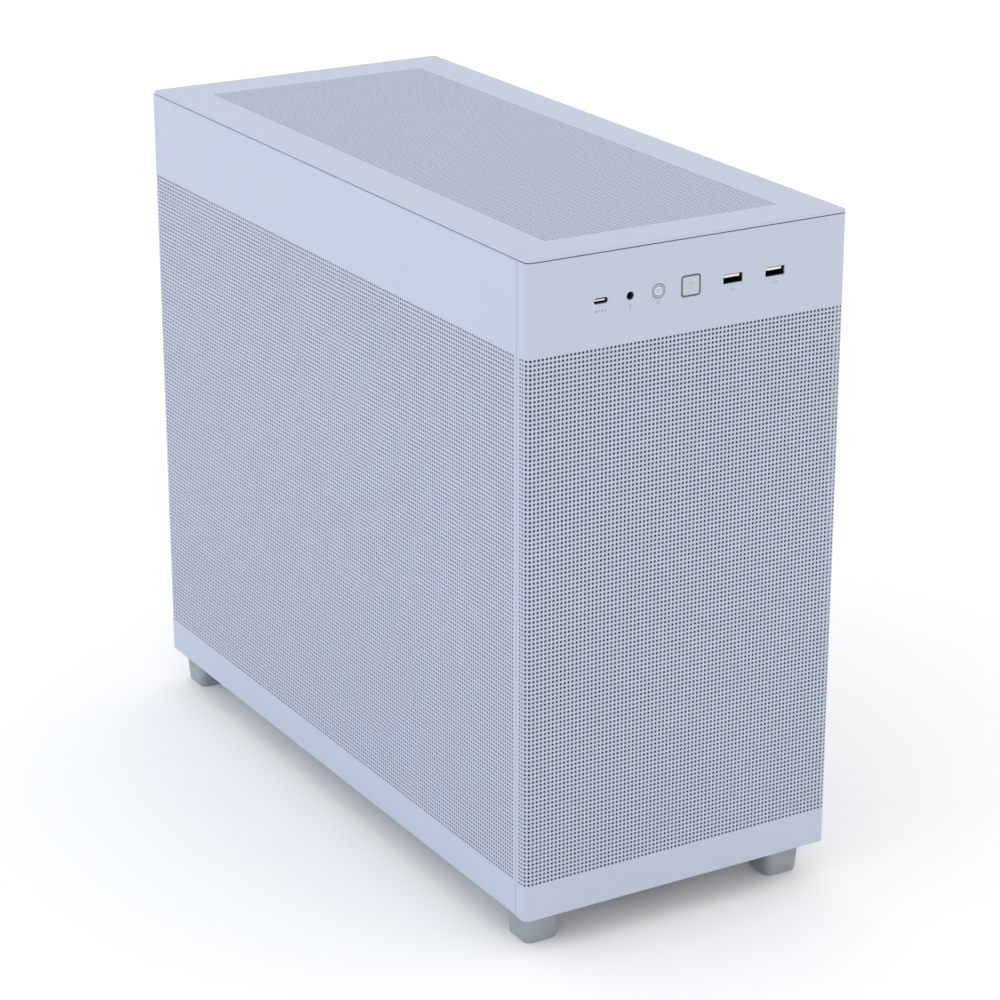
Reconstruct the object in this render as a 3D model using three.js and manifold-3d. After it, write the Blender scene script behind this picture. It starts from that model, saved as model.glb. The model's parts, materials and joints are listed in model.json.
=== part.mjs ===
// A compact desktop computer tower with perforated sheet-steel panels and the computer inside it.
//
// Frame: millimetres, +Z up, +X to the right as seen from the front, front face towards -Y.
// Origin: middle of the footprint, on the surface that the four feet stand on.
// Each piece of the assembly is one closed solid in one named mesh.

import * as THREE from 'three';
import { mergeVertices } from 'three/addons/utils/BufferGeometryUtils.js';
import Module from 'manifold-3d';

const wasm = await Module();
wasm.setup();

// ---------------------------------------------------------------- driving dimensions (mm)

const WIDTH = 205;
const DEPTH = 460;
const BODY_HEIGHT = 382.6;
const FOOT_HEIGHT = 22.4;
const SHEET = 1; // thickness of every steel sheet
const GAP = 0.3; // left between pieces that touch
const SEAM = 0.6; // open seam between two outer panels
const TOP_LIP = 1.6; // folded edge of the top panel
const FLANGE = 8; // inward fold round each side panel
const FRONT_RETURN = 9.6; // how far the front panel wraps round the sides
const CORNER_RADIUS = 3.5; // vertical front corners
const RIB = 12; // folded stiffening edges of the chassis sheets
const FAN_SIZE = 120;
const FAN_DEPTH = 25;
const PORT_DROP = 28.3; // centre line of the front ports below the top face

// ---------------------------------------------------------------- levels worked out from them

const SIDE = WIDTH / 2;
const FRONT = -DEPTH / 2;
const BACK = DEPTH / 2;
const FLOOR = FOOT_HEIGHT;
const TOP = FOOT_HEIGHT + BODY_HEIGHT;
const PANEL_TOP = TOP - TOP_LIP - SEAM;
const RETURN_END = FRONT + FRONT_RETURN;
const SIDE_FRONT = RETURN_END + SEAM;
const FRAME_SIDE = SIDE - FLANGE - SEAM;
const FRAME_FRONT = SIDE_FRONT + SHEET;
const FRAME_BACK = BACK - SHEET;
const PORT_LEVEL = TOP - PORT_DROP;

// ---------------------------------------------------------------- shape helpers

/** Moves each corner to the nearest 1/1024 mm, which 32-bit numbers hold exactly. */
function onGrid(geometry) {
  const places = geometry.attributes.position;
  for (let i = 0; i < places.array.length; i += 1) {
    places.array[i] = Math.round(places.array[i] * 1024) / 1024;
  }
  return geometry;
}

/** A closed geometry as a solid that can be joined and cut. */
function solidOf(geometry) {
  const bare = onGrid(geometry.clone());
  bare.deleteAttribute('normal');
  bare.deleteAttribute('uv');
  const merged = mergeVertices(bare, 1e-4);
  const vertProperties = new Float32Array(merged.attributes.position.array);
  const triVerts = new Uint32Array(merged.index.array);
  return new wasm.Manifold(new wasm.Mesh({ numProp: 3, vertProperties, triVerts }));
}

/** A solid as a geometry again. */
function geometryOf(solid) {
  const { vertProperties, triVerts } = solid.getMesh();
  const geometry = new THREE.BufferGeometry();
  geometry.setAttribute('position', new THREE.BufferAttribute(vertProperties, 3));
  geometry.setIndex(new THREE.BufferAttribute(triVerts, 1));
  return geometry;
}

/** One geometry from several that overlap. */
function join(...geometries) {
  return geometryOf(geometries.map(solidOf).reduce((whole, next) => whole.add(next)));
}

/** The first geometry with all the others taken out of it. */
function cut(base, ...tools) {
  return geometryOf(tools.map(solidOf).reduce((whole, tool) => whole.subtract(tool), solidOf(base)));
}

/** The part of one geometry that lies inside another. */
function keepInside(base, limit) {
  return geometryOf(solidOf(base).intersect(solidOf(limit)));
}

/** A box between two values on each axis. */
function block([x0, x1], [y0, y1], [z0, z1]) {
  const box = new THREE.BoxGeometry(x1 - x0, y1 - y0, z1 - z0);
  return box.translate((x0 + x1) / 2, (y0 + y1) / 2, (z0 + z1) / 2);
}

/** A round bar along Y between two values, centred on x and z. */
function barAlongY(radius, [y0, y1], x, z, sides = 24) {
  const bar = new THREE.CylinderGeometry(radius, radius, y1 - y0, sides);
  return bar.translate(x, (y0 + y1) / 2, z);
}

/** A round bar along X between two values, centred on y and z. */
function barAlongX(radius, [x0, x1], y, z, sides = 12) {
  const bar = new THREE.CylinderGeometry(radius, radius, x1 - x0, sides).rotateZ(Math.PI / 2);
  return bar.translate((x0 + x1) / 2, y, z);
}

/** A rectangle with rounded corners, centred on the origin. */
function roundedRectangle(width, height, radius) {
  const w = width / 2 - radius;
  const h = height / 2 - radius;
  const outline = new THREE.Shape();
  outline.absarc(w, h, radius, 0, Math.PI / 2);
  outline.absarc(-w, h, radius, Math.PI / 2, Math.PI);
  outline.absarc(-w, -h, radius, Math.PI, Math.PI * 1.5);
  outline.absarc(w, -h, radius, Math.PI * 1.5, Math.PI * 2);
  outline.closePath();
  return outline;
}

/** An outline drawn on the floor plan, raised between two heights. */
function raised(outline, [z0, z1], curveSegments = 4) {
  const options = { depth: z1 - z0, bevelEnabled: false, curveSegments };
  return new THREE.ExtrudeGeometry(outline, options).translate(0, 0, z0);
}

/** An outline drawn as seen from the front, centred on x and z and pushed from y0 back to y1. */
function pushedBack(outline, [y0, y1], x, z, curveSegments = 4) {
  const options = { depth: y1 - y0, bevelEnabled: false, curveSegments };
  return new THREE.ExtrudeGeometry(outline, options).rotateX(Math.PI / 2).translate(x, y1, z);
}

/** A round lead along a smooth curve through the points. */
function lead(points, radius, steps = 48, sides = 8) {
  const section = new THREE.Shape();
  for (let i = 0; i < sides; i += 1) {
    const angle = (2 * Math.PI * i) / sides;
    const place = [radius * Math.cos(angle), radius * Math.sin(angle)];
    if (i === 0) section.moveTo(...place);
    else section.lineTo(...place);
  }
  section.closePath();
  const extrudePath = new THREE.CatmullRomCurve3(points.map((point) => new THREE.Vector3(...point)));
  return new THREE.ExtrudeGeometry(section, { steps, extrudePath });
}

// ---------------------------------------------------------------- finishes

const finish = (color, roughness, metalness) => ({ color, roughness, metalness });
const FINISHES = {
  panelPaint: finish(0xc8d0e4, 0.5, 0.1),
  chassisPaint: finish(0xd4d9e4, 0.55, 0.1),
  footRubber: finish(0x969ea8, 0.35, 0),
  bezel: finish(0x6f7782, 0.4, 0),
  portShell: finish(0x8d9096, 0.3, 0.9),
  jackBlack: finish(0x101114, 0.5, 0),
  cap: finish(0xc4ccd8, 0.4, 0),
  board: finish(0x1d2126, 0.5, 0.1),
  fanPlastic: finish(0x23262b, 0.5, 0),
  bareMetal: finish(0xb4b8bf, 0.35, 0.9),
  supplySteel: finish(0x2b2d31, 0.45, 0.5),
  cable: finish(0x17181a, 0.6, 0),
  filter: finish(0x4b4f55, 0.6, 0),
  driveCase: finish(0x3a3d43, 0.4, 0.6),
};

const tower = new THREE.Group();

/** Adds one named piece to the tower. */
function piece(name, geometry, finishName) {
  const mesh = new THREE.Mesh(geometry, new THREE.MeshStandardMaterial(FINISHES[finishName]));
  mesh.name = name;
  tower.add(mesh);
}

// ---------------------------------------------------------------- chassis

const FRAME_WIDE = [-FRAME_SIDE, FRAME_SIDE];
const BODY_TALL = [FLOOR, PANEL_TOP];
const RIB_RUN = [FRAME_FRONT + RIB + GAP, FRAME_BACK - RIB - GAP];

// The board stands upright near the right-hand side, with the cable space behind it.
const TRAY_FACE = 79;
const STANDOFF = 6;
const BOARD_BACK = TRAY_FACE - STANDOFF;
const BOARD_FACE = BOARD_BACK - 1.6;
const BOARD_SIDE = 244;
const BOARD_TOP = 385;
const BOARD_BOTTOM = BOARD_TOP - BOARD_SIDE;
const BOARD_REAR = 226.5;
const BOARD_FRONT = BOARD_REAR - BOARD_SIDE;

// Rear window for the board's own connectors, and the row of expansion slots under it.
const REAR_WINDOW_X = [29.5, 74];
const REAR_WINDOW_Z = [222, 380.8];
const SLOT_PITCH = 20.32;
const SLOT_COUNT = 4;
const SLOT_LENGTH = 108;
const SLOT_HEIGHT = 13;
const SLOT_MIDDLE_X = 8;
const FIRST_SLOT = 206;
const slotLevel = (index) => FIRST_SLOT - index * SLOT_PITCH;

const REAR_FAN_X = -31.5;
const REAR_FAN_Z = 315;
const INLET_X = -60;
const INLET_Z = 70;
const INLET_NOTCH = 20; // half the width of the notch that the inlet's own plate closes
const INLET_NOTCH_TOP = 94;

/** The two upright folded edges of a chassis sheet that runs from y0 to y1. */
function uprightRibs([y0, y1]) {
  const inner = FRAME_SIDE - SHEET;
  return [
    block([-FRAME_SIDE, -inner], [y0, y1], BODY_TALL),
    block([inner, FRAME_SIDE], [y0, y1], BODY_TALL),
  ];
}

const rearWindows = [
  block(REAR_WINDOW_X, [FRAME_BACK - 2, BACK + 2], REAR_WINDOW_Z),
  block([INLET_X - INLET_NOTCH, INLET_X + INLET_NOTCH], [FRAME_BACK - 2, BACK + 2], [FLOOR - 1, INLET_NOTCH_TOP]),
];
for (let slot = 0; slot < SLOT_COUNT; slot += 1) {
  const level = slotLevel(slot);
  const x = [SLOT_MIDDLE_X - SLOT_LENGTH / 2, SLOT_MIDDLE_X + SLOT_LENGTH / 2];
  rearWindows.push(block(x, [FRAME_BACK - 2, BACK + 2], [level - SLOT_HEIGHT / 2, level + SLOT_HEIGHT / 2]));
}
piece(
  'rear_panel',
  cut(
    join(block(FRAME_WIDE, [FRAME_BACK, BACK], BODY_TALL), ...uprightRibs([FRAME_BACK - RIB, BACK])),
    ...rearWindows,
  ),
  'chassisPaint',
);

// Plate that carries the mains inlet. It closes the notch and hooks behind the sheet above it.
const INLET_PLATE_X = [INLET_X - INLET_NOTCH + GAP, INLET_X + INLET_NOTCH - GAP];
const INLET_HOOK_Y = [FRAME_BACK - GAP - SHEET, FRAME_BACK - GAP];
piece(
  'inlet_plate',
  cut(
    join(
      block(INLET_PLATE_X, [FRAME_BACK, BACK], [FLOOR, INLET_NOTCH_TOP - GAP]),
      block(INLET_PLATE_X, [INLET_HOOK_Y[0], BACK - SHEET / 2], [84, INLET_NOTCH_TOP - GAP]),
      block([INLET_PLATE_X[0] - 5, INLET_PLATE_X[1] + 5], INLET_HOOK_Y, [84, INLET_NOTCH_TOP + 6]),
    ),
    block([INLET_X - 14.2, INLET_X + 14.2], [FRAME_BACK - 3, BACK + 2], [INLET_Z - 10.4, INLET_Z + 10.4]),
  ),
  'chassisPaint',
);

// Front sheet: one tall window for intake air, one slot for the port board.
const FRONT_WINDOW_X = [-75, 75];
const FRONT_WINDOW_Z = [50, 345];
const PORT_SLOT_X = [-68, 72];
const PORT_SLOT_Z = [PORT_LEVEL - 10, PORT_LEVEL + 9];
piece(
  'front_frame',
  cut(
    join(
      block(FRAME_WIDE, [SIDE_FRONT, FRAME_FRONT], BODY_TALL),
      ...uprightRibs([SIDE_FRONT, FRAME_FRONT + RIB]),
    ),
    block(FRONT_WINDOW_X, [SIDE_FRONT - 2, FRAME_FRONT + 2], FRONT_WINDOW_Z),
    block(PORT_SLOT_X, [SIDE_FRONT - 2, FRAME_FRONT + 2], PORT_SLOT_Z),
  ),
  'chassisPaint',
);

/** A level chassis sheet between the front and rear ones, with its long edges folded by RIB. */
function levelSheet([z0, z1], foldUp) {
  const run = [FRAME_FRONT + GAP, FRAME_BACK - GAP];
  const fold = foldUp ? [z0, z0 + RIB] : [z1 - RIB, z1];
  const inner = FRAME_SIDE - SHEET;
  const reach = inner - GAP;
  return [
    block([-reach, reach], run, [z0, z1]),
    block([-FRAME_SIDE, -reach + 1], RIB_RUN, [z0, z1]),
    block([reach - 1, FRAME_SIDE], RIB_RUN, [z0, z1]),
    block([-FRAME_SIDE, -inner], RIB_RUN, fold),
    block([inner, FRAME_SIDE], RIB_RUN, fold),
  ];
}

// Floor: an intake grille of long slots, and two rails underneath that hold the dust filter.
const FILTER_HALF_WIDTH = 62;
const FILTER_Y = [-190, 60];
const FILTER_Z = [FLOOR - 4.3, FLOOR - GAP];
const FLOOR_SLOTS = 20;
const FLOOR_SLOT_PITCH = 11.4;
const floorSlots = [];
for (let slot = 0; slot < FLOOR_SLOTS; slot += 1) {
  const y = FILTER_Y[0] + 17 + slot * FLOOR_SLOT_PITCH;
  floorSlots.push(block([-52, -3], [y - 2.2, y + 2.2], [FLOOR - 2, FLOOR + 3]));
  floorSlots.push(block([3, 52], [y - 2.2, y + 2.2], [FLOOR - 2, FLOOR + 3]));
}

/** A hanging rail of L section that holds one edge of the dust filter. */
function filterRail(side) {
  const span = (a, b) => [Math.min(side * a, side * b), Math.max(side * a, side * b)];
  const inner = FILTER_HALF_WIDTH + GAP;
  const bottom = FILTER_Z[0] - GAP - SHEET;
  return [
    block(span(inner, inner + SHEET), FILTER_Y, [bottom, FLOOR + SHEET / 2]),
    block(span(inner - 3, inner + SHEET), FILTER_Y, [bottom, bottom + SHEET]),
  ];
}

piece(
  'floor_pan',
  join(
    cut(join(...levelSheet([FLOOR, FLOOR + SHEET], true)), ...floorSlots),
    ...filterRail(-1),
    ...filterRail(1),
  ),
  'chassisPaint',
);

const FILTER_RIM = 6;
piece(
  'bottom_filter',
  join(
    block([-FILTER_HALF_WIDTH, FILTER_HALF_WIDTH], FILTER_Y, [FILTER_Z[0] + 1.5, FILTER_Z[1] - 1.5]),
    cut(
      block([-FILTER_HALF_WIDTH, FILTER_HALF_WIDTH], FILTER_Y, FILTER_Z),
      block(
        [-FILTER_HALF_WIDTH + FILTER_RIM, FILTER_HALF_WIDTH - FILTER_RIM],
        [FILTER_Y[0] + FILTER_RIM, FILTER_Y[1] - FILTER_RIM],
        [FILTER_Z[0] - 1, FILTER_Z[1] + 1],
      ),
    ),
    block([-14, 14], [FILTER_Y[0] - 9, FILTER_Y[0] + 2], [FILTER_Z[0] + 1, FILTER_Z[1] - 1]),
  ),
  'filter',
);

// Roof frame: a big window that takes fans or a radiator.
const ROOF_WINDOW_X = [-76, 76];
const ROOF_WINDOW_Y = [-196, 204];
piece(
  'top_frame',
  cut(
    join(...levelSheet([PANEL_TOP - SHEET, PANEL_TOP], false)),
    block(ROOF_WINDOW_X, ROOF_WINDOW_Y, [PANEL_TOP - 3, PANEL_TOP + 2]),
  ),
  'chassisPaint',
);

// Upright tray with standoffs for the board, a window behind the processor and two lead slots.
const TRAY_FRONT = -45;
const TRAY_BACK = FRAME_BACK - RIB - GAP;
const TRAY_LEVELS = [FLOOR + SHEET + GAP, PANEL_TOP - SHEET - GAP];
const standoffs = [];
for (const y of [BOARD_REAR - 10, BOARD_REAR - 165, BOARD_FRONT + 5]) {
  for (const z of [BOARD_TOP - 10, BOARD_TOP - 165, BOARD_BOTTOM + 6]) {
    standoffs.push(barAlongX(3, [BOARD_BACK + GAP, TRAY_FACE + SHEET / 2], Math.min(y, TRAY_BACK - 4), z, 6));
  }
}
piece(
  'motherboard_tray',
  join(
    cut(
      block([TRAY_FACE, TRAY_FACE + SHEET], [TRAY_FRONT, TRAY_BACK], TRAY_LEVELS),
      block([TRAY_FACE - 2, TRAY_FACE + 3], [75, 175], [262, 352]),
      block([TRAY_FACE - 2, TRAY_FACE + 3], [20, 100], [112, 132]),
      block([TRAY_FACE - 2, TRAY_FACE + 3], [156, 196], [386, 410]),
    ),
    block([TRAY_FACE, TRAY_FACE + RIB], [TRAY_FRONT, TRAY_FRONT + SHEET], [TRAY_LEVELS[0], 345]),
    ...standoffs,
  ),
  'chassisPaint',
);

// ---------------------------------------------------------------- feet

const FOOT_X = 82.8;
const FOOT_FRONT_Y = -206.2;
const FOOT_REAR_Y = 216.8;
const FOOT_TOP_SIZE = 24.4;
const FOOT_BOTTOM_SIZE = 21.6;
const FOOT_RADIUS = 4.5;

/** A tapered block with rounded upright corners, wider where it meets the floor pan. */
function footGeometry(x, y) {
  const height = FOOT_HEIGHT - GAP;
  const foot = raised(roundedRectangle(FOOT_BOTTOM_SIZE, FOOT_BOTTOM_SIZE, FOOT_RADIUS), [0, height]);
  const places = foot.attributes.position;
  const spread = FOOT_TOP_SIZE / FOOT_BOTTOM_SIZE - 1;
  for (let i = 0; i < places.count; i += 1) {
    const scale = 1 + (spread * places.getZ(i)) / height;
    places.setXY(i, places.getX(i) * scale, places.getY(i) * scale);
  }
  return foot.translate(x, y, 0);
}

for (const [side, sign] of [['left', -1], ['right', 1]]) {
  piece(`foot_front_${side}`, footGeometry(sign * FOOT_X, FOOT_FRONT_Y), 'footRubber');
  piece(`foot_rear_${side}`, footGeometry(sign * FOOT_X, FOOT_REAR_Y), 'footRubber');
}

// ---------------------------------------------------------------- front ports and buttons

const USB_C_X = -56.9;
const AUDIO_X = -38.5;
const RESET_X = -20.7;
const POWER_X = 0;
const USB_A_X = [27.2, 54.8];
const FACE_BACK = FRONT + SHEET + GAP; // first free depth behind the front sheet

const PORT_BOARD_TOP = PORT_LEVEL - 3.8;
const PORT_BOARD_X = [-66, 67];
const PORT_BOARD_Y = [FRONT + 8.2, -193];

/** A metal sleeve open to the front, closed behind, with a contact tongue standing in it. */
function portSleeve(outer, inner, tongue, [y0, y1], x, z) {
  return join(
    cut(pushedBack(outer, [y0, y1], x, z, 3), pushedBack(inner, [y0 - 1, y1 - 1.5], x, z, 3)),
    block([x - tongue.width / 2, x + tongue.width / 2], [y0 + tongue.set, y1 - 1],
      [z + tongue.level - tongue.thick / 2, z + tongue.level + tongue.thick / 2]),
  );
}

piece(
  'usb_c_port',
  portSleeve(
    roundedRectangle(9, 3.3, 1.6),
    roundedRectangle(8.4, 2.7, 1.3),
    { width: 6.7, thick: 0.8, level: 0, set: 0.8 },
    [FACE_BACK, FACE_BACK + 9],
    USB_C_X,
    PORT_LEVEL,
  ),
  'portShell',
);
USB_A_X.forEach((x, index) => {
  piece(
    `usb_a_port_${index + 1}`,
    portSleeve(
      roundedRectangle(13.2, 5.9, 0.5),
      roundedRectangle(12.5, 5.12, 0.3),
      { width: 11.1, thick: 1.8, level: 1.1, set: 0.6 },
      [FACE_BACK, FACE_BACK + 14],
      x,
      PORT_LEVEL,
    ),
    'portShell',
  );
});
piece(
  'audio_jack',
  cut(
    join(
      barAlongY(3.2, [FACE_BACK, FACE_BACK + 4], AUDIO_X, PORT_LEVEL, 20),
      block([AUDIO_X - 3.2, AUDIO_X + 3.2], [FACE_BACK + 2, FACE_BACK + 13], [PORT_LEVEL - 3.2, PORT_LEVEL + 2.6]),
    ),
    barAlongY(1.8, [FACE_BACK - 1, FACE_BACK + 11.5], AUDIO_X, PORT_LEVEL, 20),
  ),
  'jackBlack',
);

const POWER_BEZEL = [12, 11.6, 1.6];
const POWER_CAP = [10.4, 10, 1];
const RESET_BEZEL_RADIUS = 3.95;
const RESET_CAP_RADIUS = 2.5;
const BEZEL_DEPTH = [FRONT, FRONT + 5];
const CAP_DEPTH = [FRONT, FRONT + 5.6];
const PLUNGER_END = FRONT + 8;
const PRESS_ROOM = 0.25;

piece(
  'power_bezel',
  cut(
    pushedBack(roundedRectangle(...POWER_BEZEL), BEZEL_DEPTH, POWER_X, PORT_LEVEL),
    pushedBack(
      roundedRectangle(POWER_CAP[0] + PRESS_ROOM, POWER_CAP[1] + PRESS_ROOM, POWER_CAP[2]),
      [FRONT - 1, FRONT + 6],
      POWER_X,
      PORT_LEVEL,
    ),
  ),
  'bezel',
);
piece(
  'power_button',
  join(
    pushedBack(roundedRectangle(...POWER_CAP), CAP_DEPTH, POWER_X, PORT_LEVEL),
    barAlongY(1.6, [FRONT + 4, PLUNGER_END], POWER_X, PORT_LEVEL, 10),
  ),
  'cap',
);
piece(
  'reset_bezel',
  cut(
    barAlongY(RESET_BEZEL_RADIUS, BEZEL_DEPTH, RESET_X, PORT_LEVEL, 28),
    barAlongY(RESET_CAP_RADIUS + PRESS_ROOM, [FRONT - 1, FRONT + 6], RESET_X, PORT_LEVEL, 28),
  ),
  'bezel',
);
piece(
  'reset_button',
  join(
    barAlongY(RESET_CAP_RADIUS, CAP_DEPTH, RESET_X, PORT_LEVEL, 20),
    barAlongY(1.2, [FRONT + 4, PLUNGER_END], RESET_X, PORT_LEVEL, 8),
  ),
  'cap',
);

// The switches stand on the board behind the two plungers, a press away from them.
const SWITCH_FRONT = PLUNGER_END + 1.8;
piece(
  'port_board',
  join(
    block(PORT_BOARD_X, PORT_BOARD_Y, [PORT_BOARD_TOP - 1.6, PORT_BOARD_TOP]),
    ...[POWER_X, RESET_X].map((x) =>
      block([x - 3, x + 3], [SWITCH_FRONT, SWITCH_FRONT + 4], [PORT_BOARD_TOP - 0.5, PORT_LEVEL + 3]),
    ),
    block([40, 62], [-206, -196], [PORT_BOARD_TOP - 0.5, PORT_BOARD_TOP + 7]),
  ),
  'board',
);
const BRACKET_TOP = PORT_BOARD_TOP - 1.6 - GAP;
piece(
  'port_bracket',
  join(
    block([-70, 74], [FRAME_FRONT + GAP, -192], [BRACKET_TOP - SHEET, BRACKET_TOP]),
    block([-70, 74], [FRAME_FRONT + GAP, FRAME_FRONT + GAP + SHEET], [PORT_SLOT_Z[0] - 12, BRACKET_TOP]),
    ...[-73, 73].map((x) =>
      block([x - 4, x + 4], [FRAME_FRONT + GAP, FRAME_FRONT + GAP + SHEET], [PORT_SLOT_Z[0] - 12, PORT_LEVEL + 14]),
    ),
  ),
  'chassisPaint',
);

// ---------------------------------------------------------------- outer panels

/** Plan of the front sheet: a flat face with rounded corners and two short returns. */
function frontWrap() {
  const inside = CORNER_RADIUS - SHEET;
  const cornerX = SIDE - CORNER_RADIUS;
  const cornerY = FRONT + CORNER_RADIUS;
  const plan = new THREE.Shape();
  plan.moveTo(SIDE, RETURN_END);
  plan.lineTo(SIDE - SHEET, RETURN_END);
  plan.absarc(cornerX, cornerY, inside, 0, -Math.PI / 2, true);
  plan.absarc(-cornerX, cornerY, inside, -Math.PI / 2, -Math.PI, true);
  plan.lineTo(-SIDE + SHEET, RETURN_END);
  plan.lineTo(-SIDE, RETURN_END);
  plan.absarc(-cornerX, cornerY, CORNER_RADIUS, Math.PI, Math.PI * 1.5);
  plan.absarc(cornerX, cornerY, CORNER_RADIUS, Math.PI * 1.5, Math.PI * 2);
  plan.closePath();
  return plan;
}

/** Plan of a solid with the front panel's outline, set in by the sheet. */
function frontInfill() {
  const inset = SHEET / 2;
  const radius = CORNER_RADIUS - inset;
  const cornerX = SIDE - CORNER_RADIUS;
  const cornerY = FRONT + CORNER_RADIUS;
  const plan = new THREE.Shape();
  plan.moveTo(SIDE - inset, RETURN_END);
  plan.lineTo(-SIDE + inset, RETURN_END);
  plan.absarc(-cornerX, cornerY, radius, Math.PI, Math.PI * 1.5);
  plan.absarc(cornerX, cornerY, radius, Math.PI * 1.5, Math.PI * 2);
  plan.closePath();
  return plan;
}

const through = [FRONT - 2, FRONT + SHEET + 2];
piece(
  'front_panel',
  cut(
    join(
      raised(frontWrap(), BODY_TALL, 5),
      raised(frontInfill(), [FLOOR, FLOOR + SHEET], 5),
      raised(frontInfill(), [PANEL_TOP - SHEET, PANEL_TOP], 5),
    ),
    pushedBack(roundedRectangle(9, 3.4, 1.6), through, USB_C_X, PORT_LEVEL, 4),
    barAlongY(2.35, through, AUDIO_X, PORT_LEVEL, 20),
    barAlongY(RESET_BEZEL_RADIUS + GAP, through, RESET_X, PORT_LEVEL, 28),
    pushedBack(roundedRectangle(12.6, 12.2, 1.9), through, POWER_X, PORT_LEVEL),
    ...USB_A_X.map((x) => pushedBack(roundedRectangle(12.7, 5.3, 0.4), through, x, PORT_LEVEL, 2)),
  ),
  'panelPaint',
);

/** A side panel: one sheet folded inwards along its four edges. */
function sidePanel(sign) {
  const span = (a, b) => [Math.min(sign * a, sign * b), Math.max(sign * a, sign * b)];
  return cut(
    block(span(SIDE - FLANGE, SIDE), [SIDE_FRONT, BACK], BODY_TALL),
    block(
      span(SIDE - FLANGE - 1, SIDE - SHEET),
      [SIDE_FRONT + SHEET, BACK - SHEET],
      [FLOOR + SHEET, PANEL_TOP - SHEET],
    ),
  );
}

piece('left_panel', sidePanel(-1), 'panelPaint');
piece('right_panel', sidePanel(1), 'panelPaint');

/** Plan of the top panel, with rounded corners, made smaller all round by the inset. */
function topPlan(inset) {
  return roundedRectangle(WIDTH - 2 * inset, DEPTH - 2 * inset, CORNER_RADIUS - inset);
}

piece(
  'top_panel',
  cut(raised(topPlan(0), [TOP - TOP_LIP, TOP], 5), raised(topPlan(SHEET), [TOP - TOP_LIP - 1, TOP - SHEET], 5)),
  'panelPaint',
);

// ---------------------------------------------------------------- motherboard and what sits on it

const CPU_Y = 125;
const CPU_Z = 305;
const SOCKET_FACE = BOARD_FACE - 7;
const MEMORY_Y = [38, 47];
const MEMORY_Z = [226, 360];
const M2_Z = 216;

/** A component standing on the board's face, from its height off the board. */
function onBoard(height, y, z) {
  return block([BOARD_FACE - height, BOARD_FACE + 0.5], y, z);
}

const expansionSockets = [];
for (let slot = 0; slot < SLOT_COUNT; slot += 1) {
  const level = slotLevel(slot) - 6;
  expansionSockets.push(onBoard(11, [90, slot === 0 ? 179 : 130], [level - 3.7, level + 3.7]));
}
piece(
  'motherboard',
  join(
    block([BOARD_FACE, BOARD_BACK], [BOARD_FRONT, BOARD_REAR], [BOARD_BOTTOM, BOARD_TOP]),
    onBoard(7, [CPU_Y - 24, CPU_Y + 24], [CPU_Z - 24, CPU_Z + 24]),
    onBoard(22, [177, 193], [242, 362]),
    onBoard(18, [90, 160], [366, 380]),
    onBoard(9, [20, 62], [160, 198]),
    ...MEMORY_Y.map((y) => onBoard(8, [y - 3.2, y + 3.2], MEMORY_Z)),
    ...expansionSockets,
  ),
  'board',
);

/** Rear connectors as [lowest z, highest z, pocket height, pocket width, tongue]. */
const REAR_PORTS = [
  { z: [358, 375], pockets: [[362, 5.4, 13], [371, 5.4, 13]], tongue: true },
  { z: [336, 352], pockets: [[344, 11.5, 13]], tongue: false },
  { z: [312, 330], pockets: [[321, 5.6, 15]], tongue: true },
  { z: [288, 306], pockets: [[292, 5.4, 13], [301, 5.4, 13]], tongue: true },
  { z: [248, 282], pockets: [[254, 5.2, 5.2], [265, 5.2, 5.2], [276, 5.2, 5.2]], tongue: false },
];
const REAR_PORT_X = [BOARD_FACE - 22, BOARD_FACE - GAP];
const REAR_PORT_MIDDLE = BOARD_FACE - 11;
const REAR_PORT_Y = [BOARD_REAR - 30, FRAME_BACK - GAP];

/** The row of connectors along the board's rear edge, on one strip. */
function rearPorts() {
  const shells = [block([BOARD_FACE - 3, BOARD_FACE - GAP], REAR_PORT_Y, [246, 377])];
  const pockets = [];
  const tongues = [];
  for (const port of REAR_PORTS) {
    shells.push(block(REAR_PORT_X, REAR_PORT_Y, port.z));
    for (const [z, height, width] of port.pockets) {
      const x = [REAR_PORT_MIDDLE - width / 2, REAR_PORT_MIDDLE + width / 2];
      pockets.push(block(x, [REAR_PORT_Y[1] - 12, BACK + 1], [z - height / 2, z + height / 2]));
      if (port.tongue) {
        const tongueX = [REAR_PORT_MIDDLE - width / 2 + 1, REAR_PORT_MIDDLE + width / 2 - 1];
        tongues.push(block(tongueX, [REAR_PORT_Y[1] - 13, REAR_PORT_Y[1] - 1], [z - 0.9, z + 0.9]));
      }
    }
  }
  return join(cut(join(...shells), ...pockets), ...tongues);
}

piece('rear_port_block', rearPorts(), 'portShell');

const shieldCuts = REAR_PORTS.map((port) =>
  block([REAR_PORT_X[0] - 0.5, BOARD_FACE - 2], [FRAME_BACK - 1, BACK + 1], [port.z[0] - 0.5, port.z[1] + 0.5]),
);
piece(
  'io_shield',
  cut(
    block(
      [REAR_WINDOW_X[0] + GAP, REAR_WINDOW_X[1] - GAP],
      [FRAME_BACK, FRAME_BACK + 0.7],
      [REAR_WINDOW_Z[0] + GAP, REAR_WINDOW_Z[1] - GAP],
    ),
    ...shieldCuts,
  ),
  'bareMetal',
);

MEMORY_Y.forEach((y, index) => {
  const x = [BOARD_FACE - 8 - GAP - 31, BOARD_FACE - 8 - GAP];
  piece(`memory_stick_${index + 1}`, block(x, [y - 2, y + 2], [MEMORY_Z[0] + 1, MEMORY_Z[1] - 1]), 'driveCase');
});
piece(
  'm2_drive',
  block([BOARD_FACE - 4, BOARD_FACE - GAP], [40, 120], [M2_Z - 5, M2_Z + 6]),
  'driveCase',
);

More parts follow.
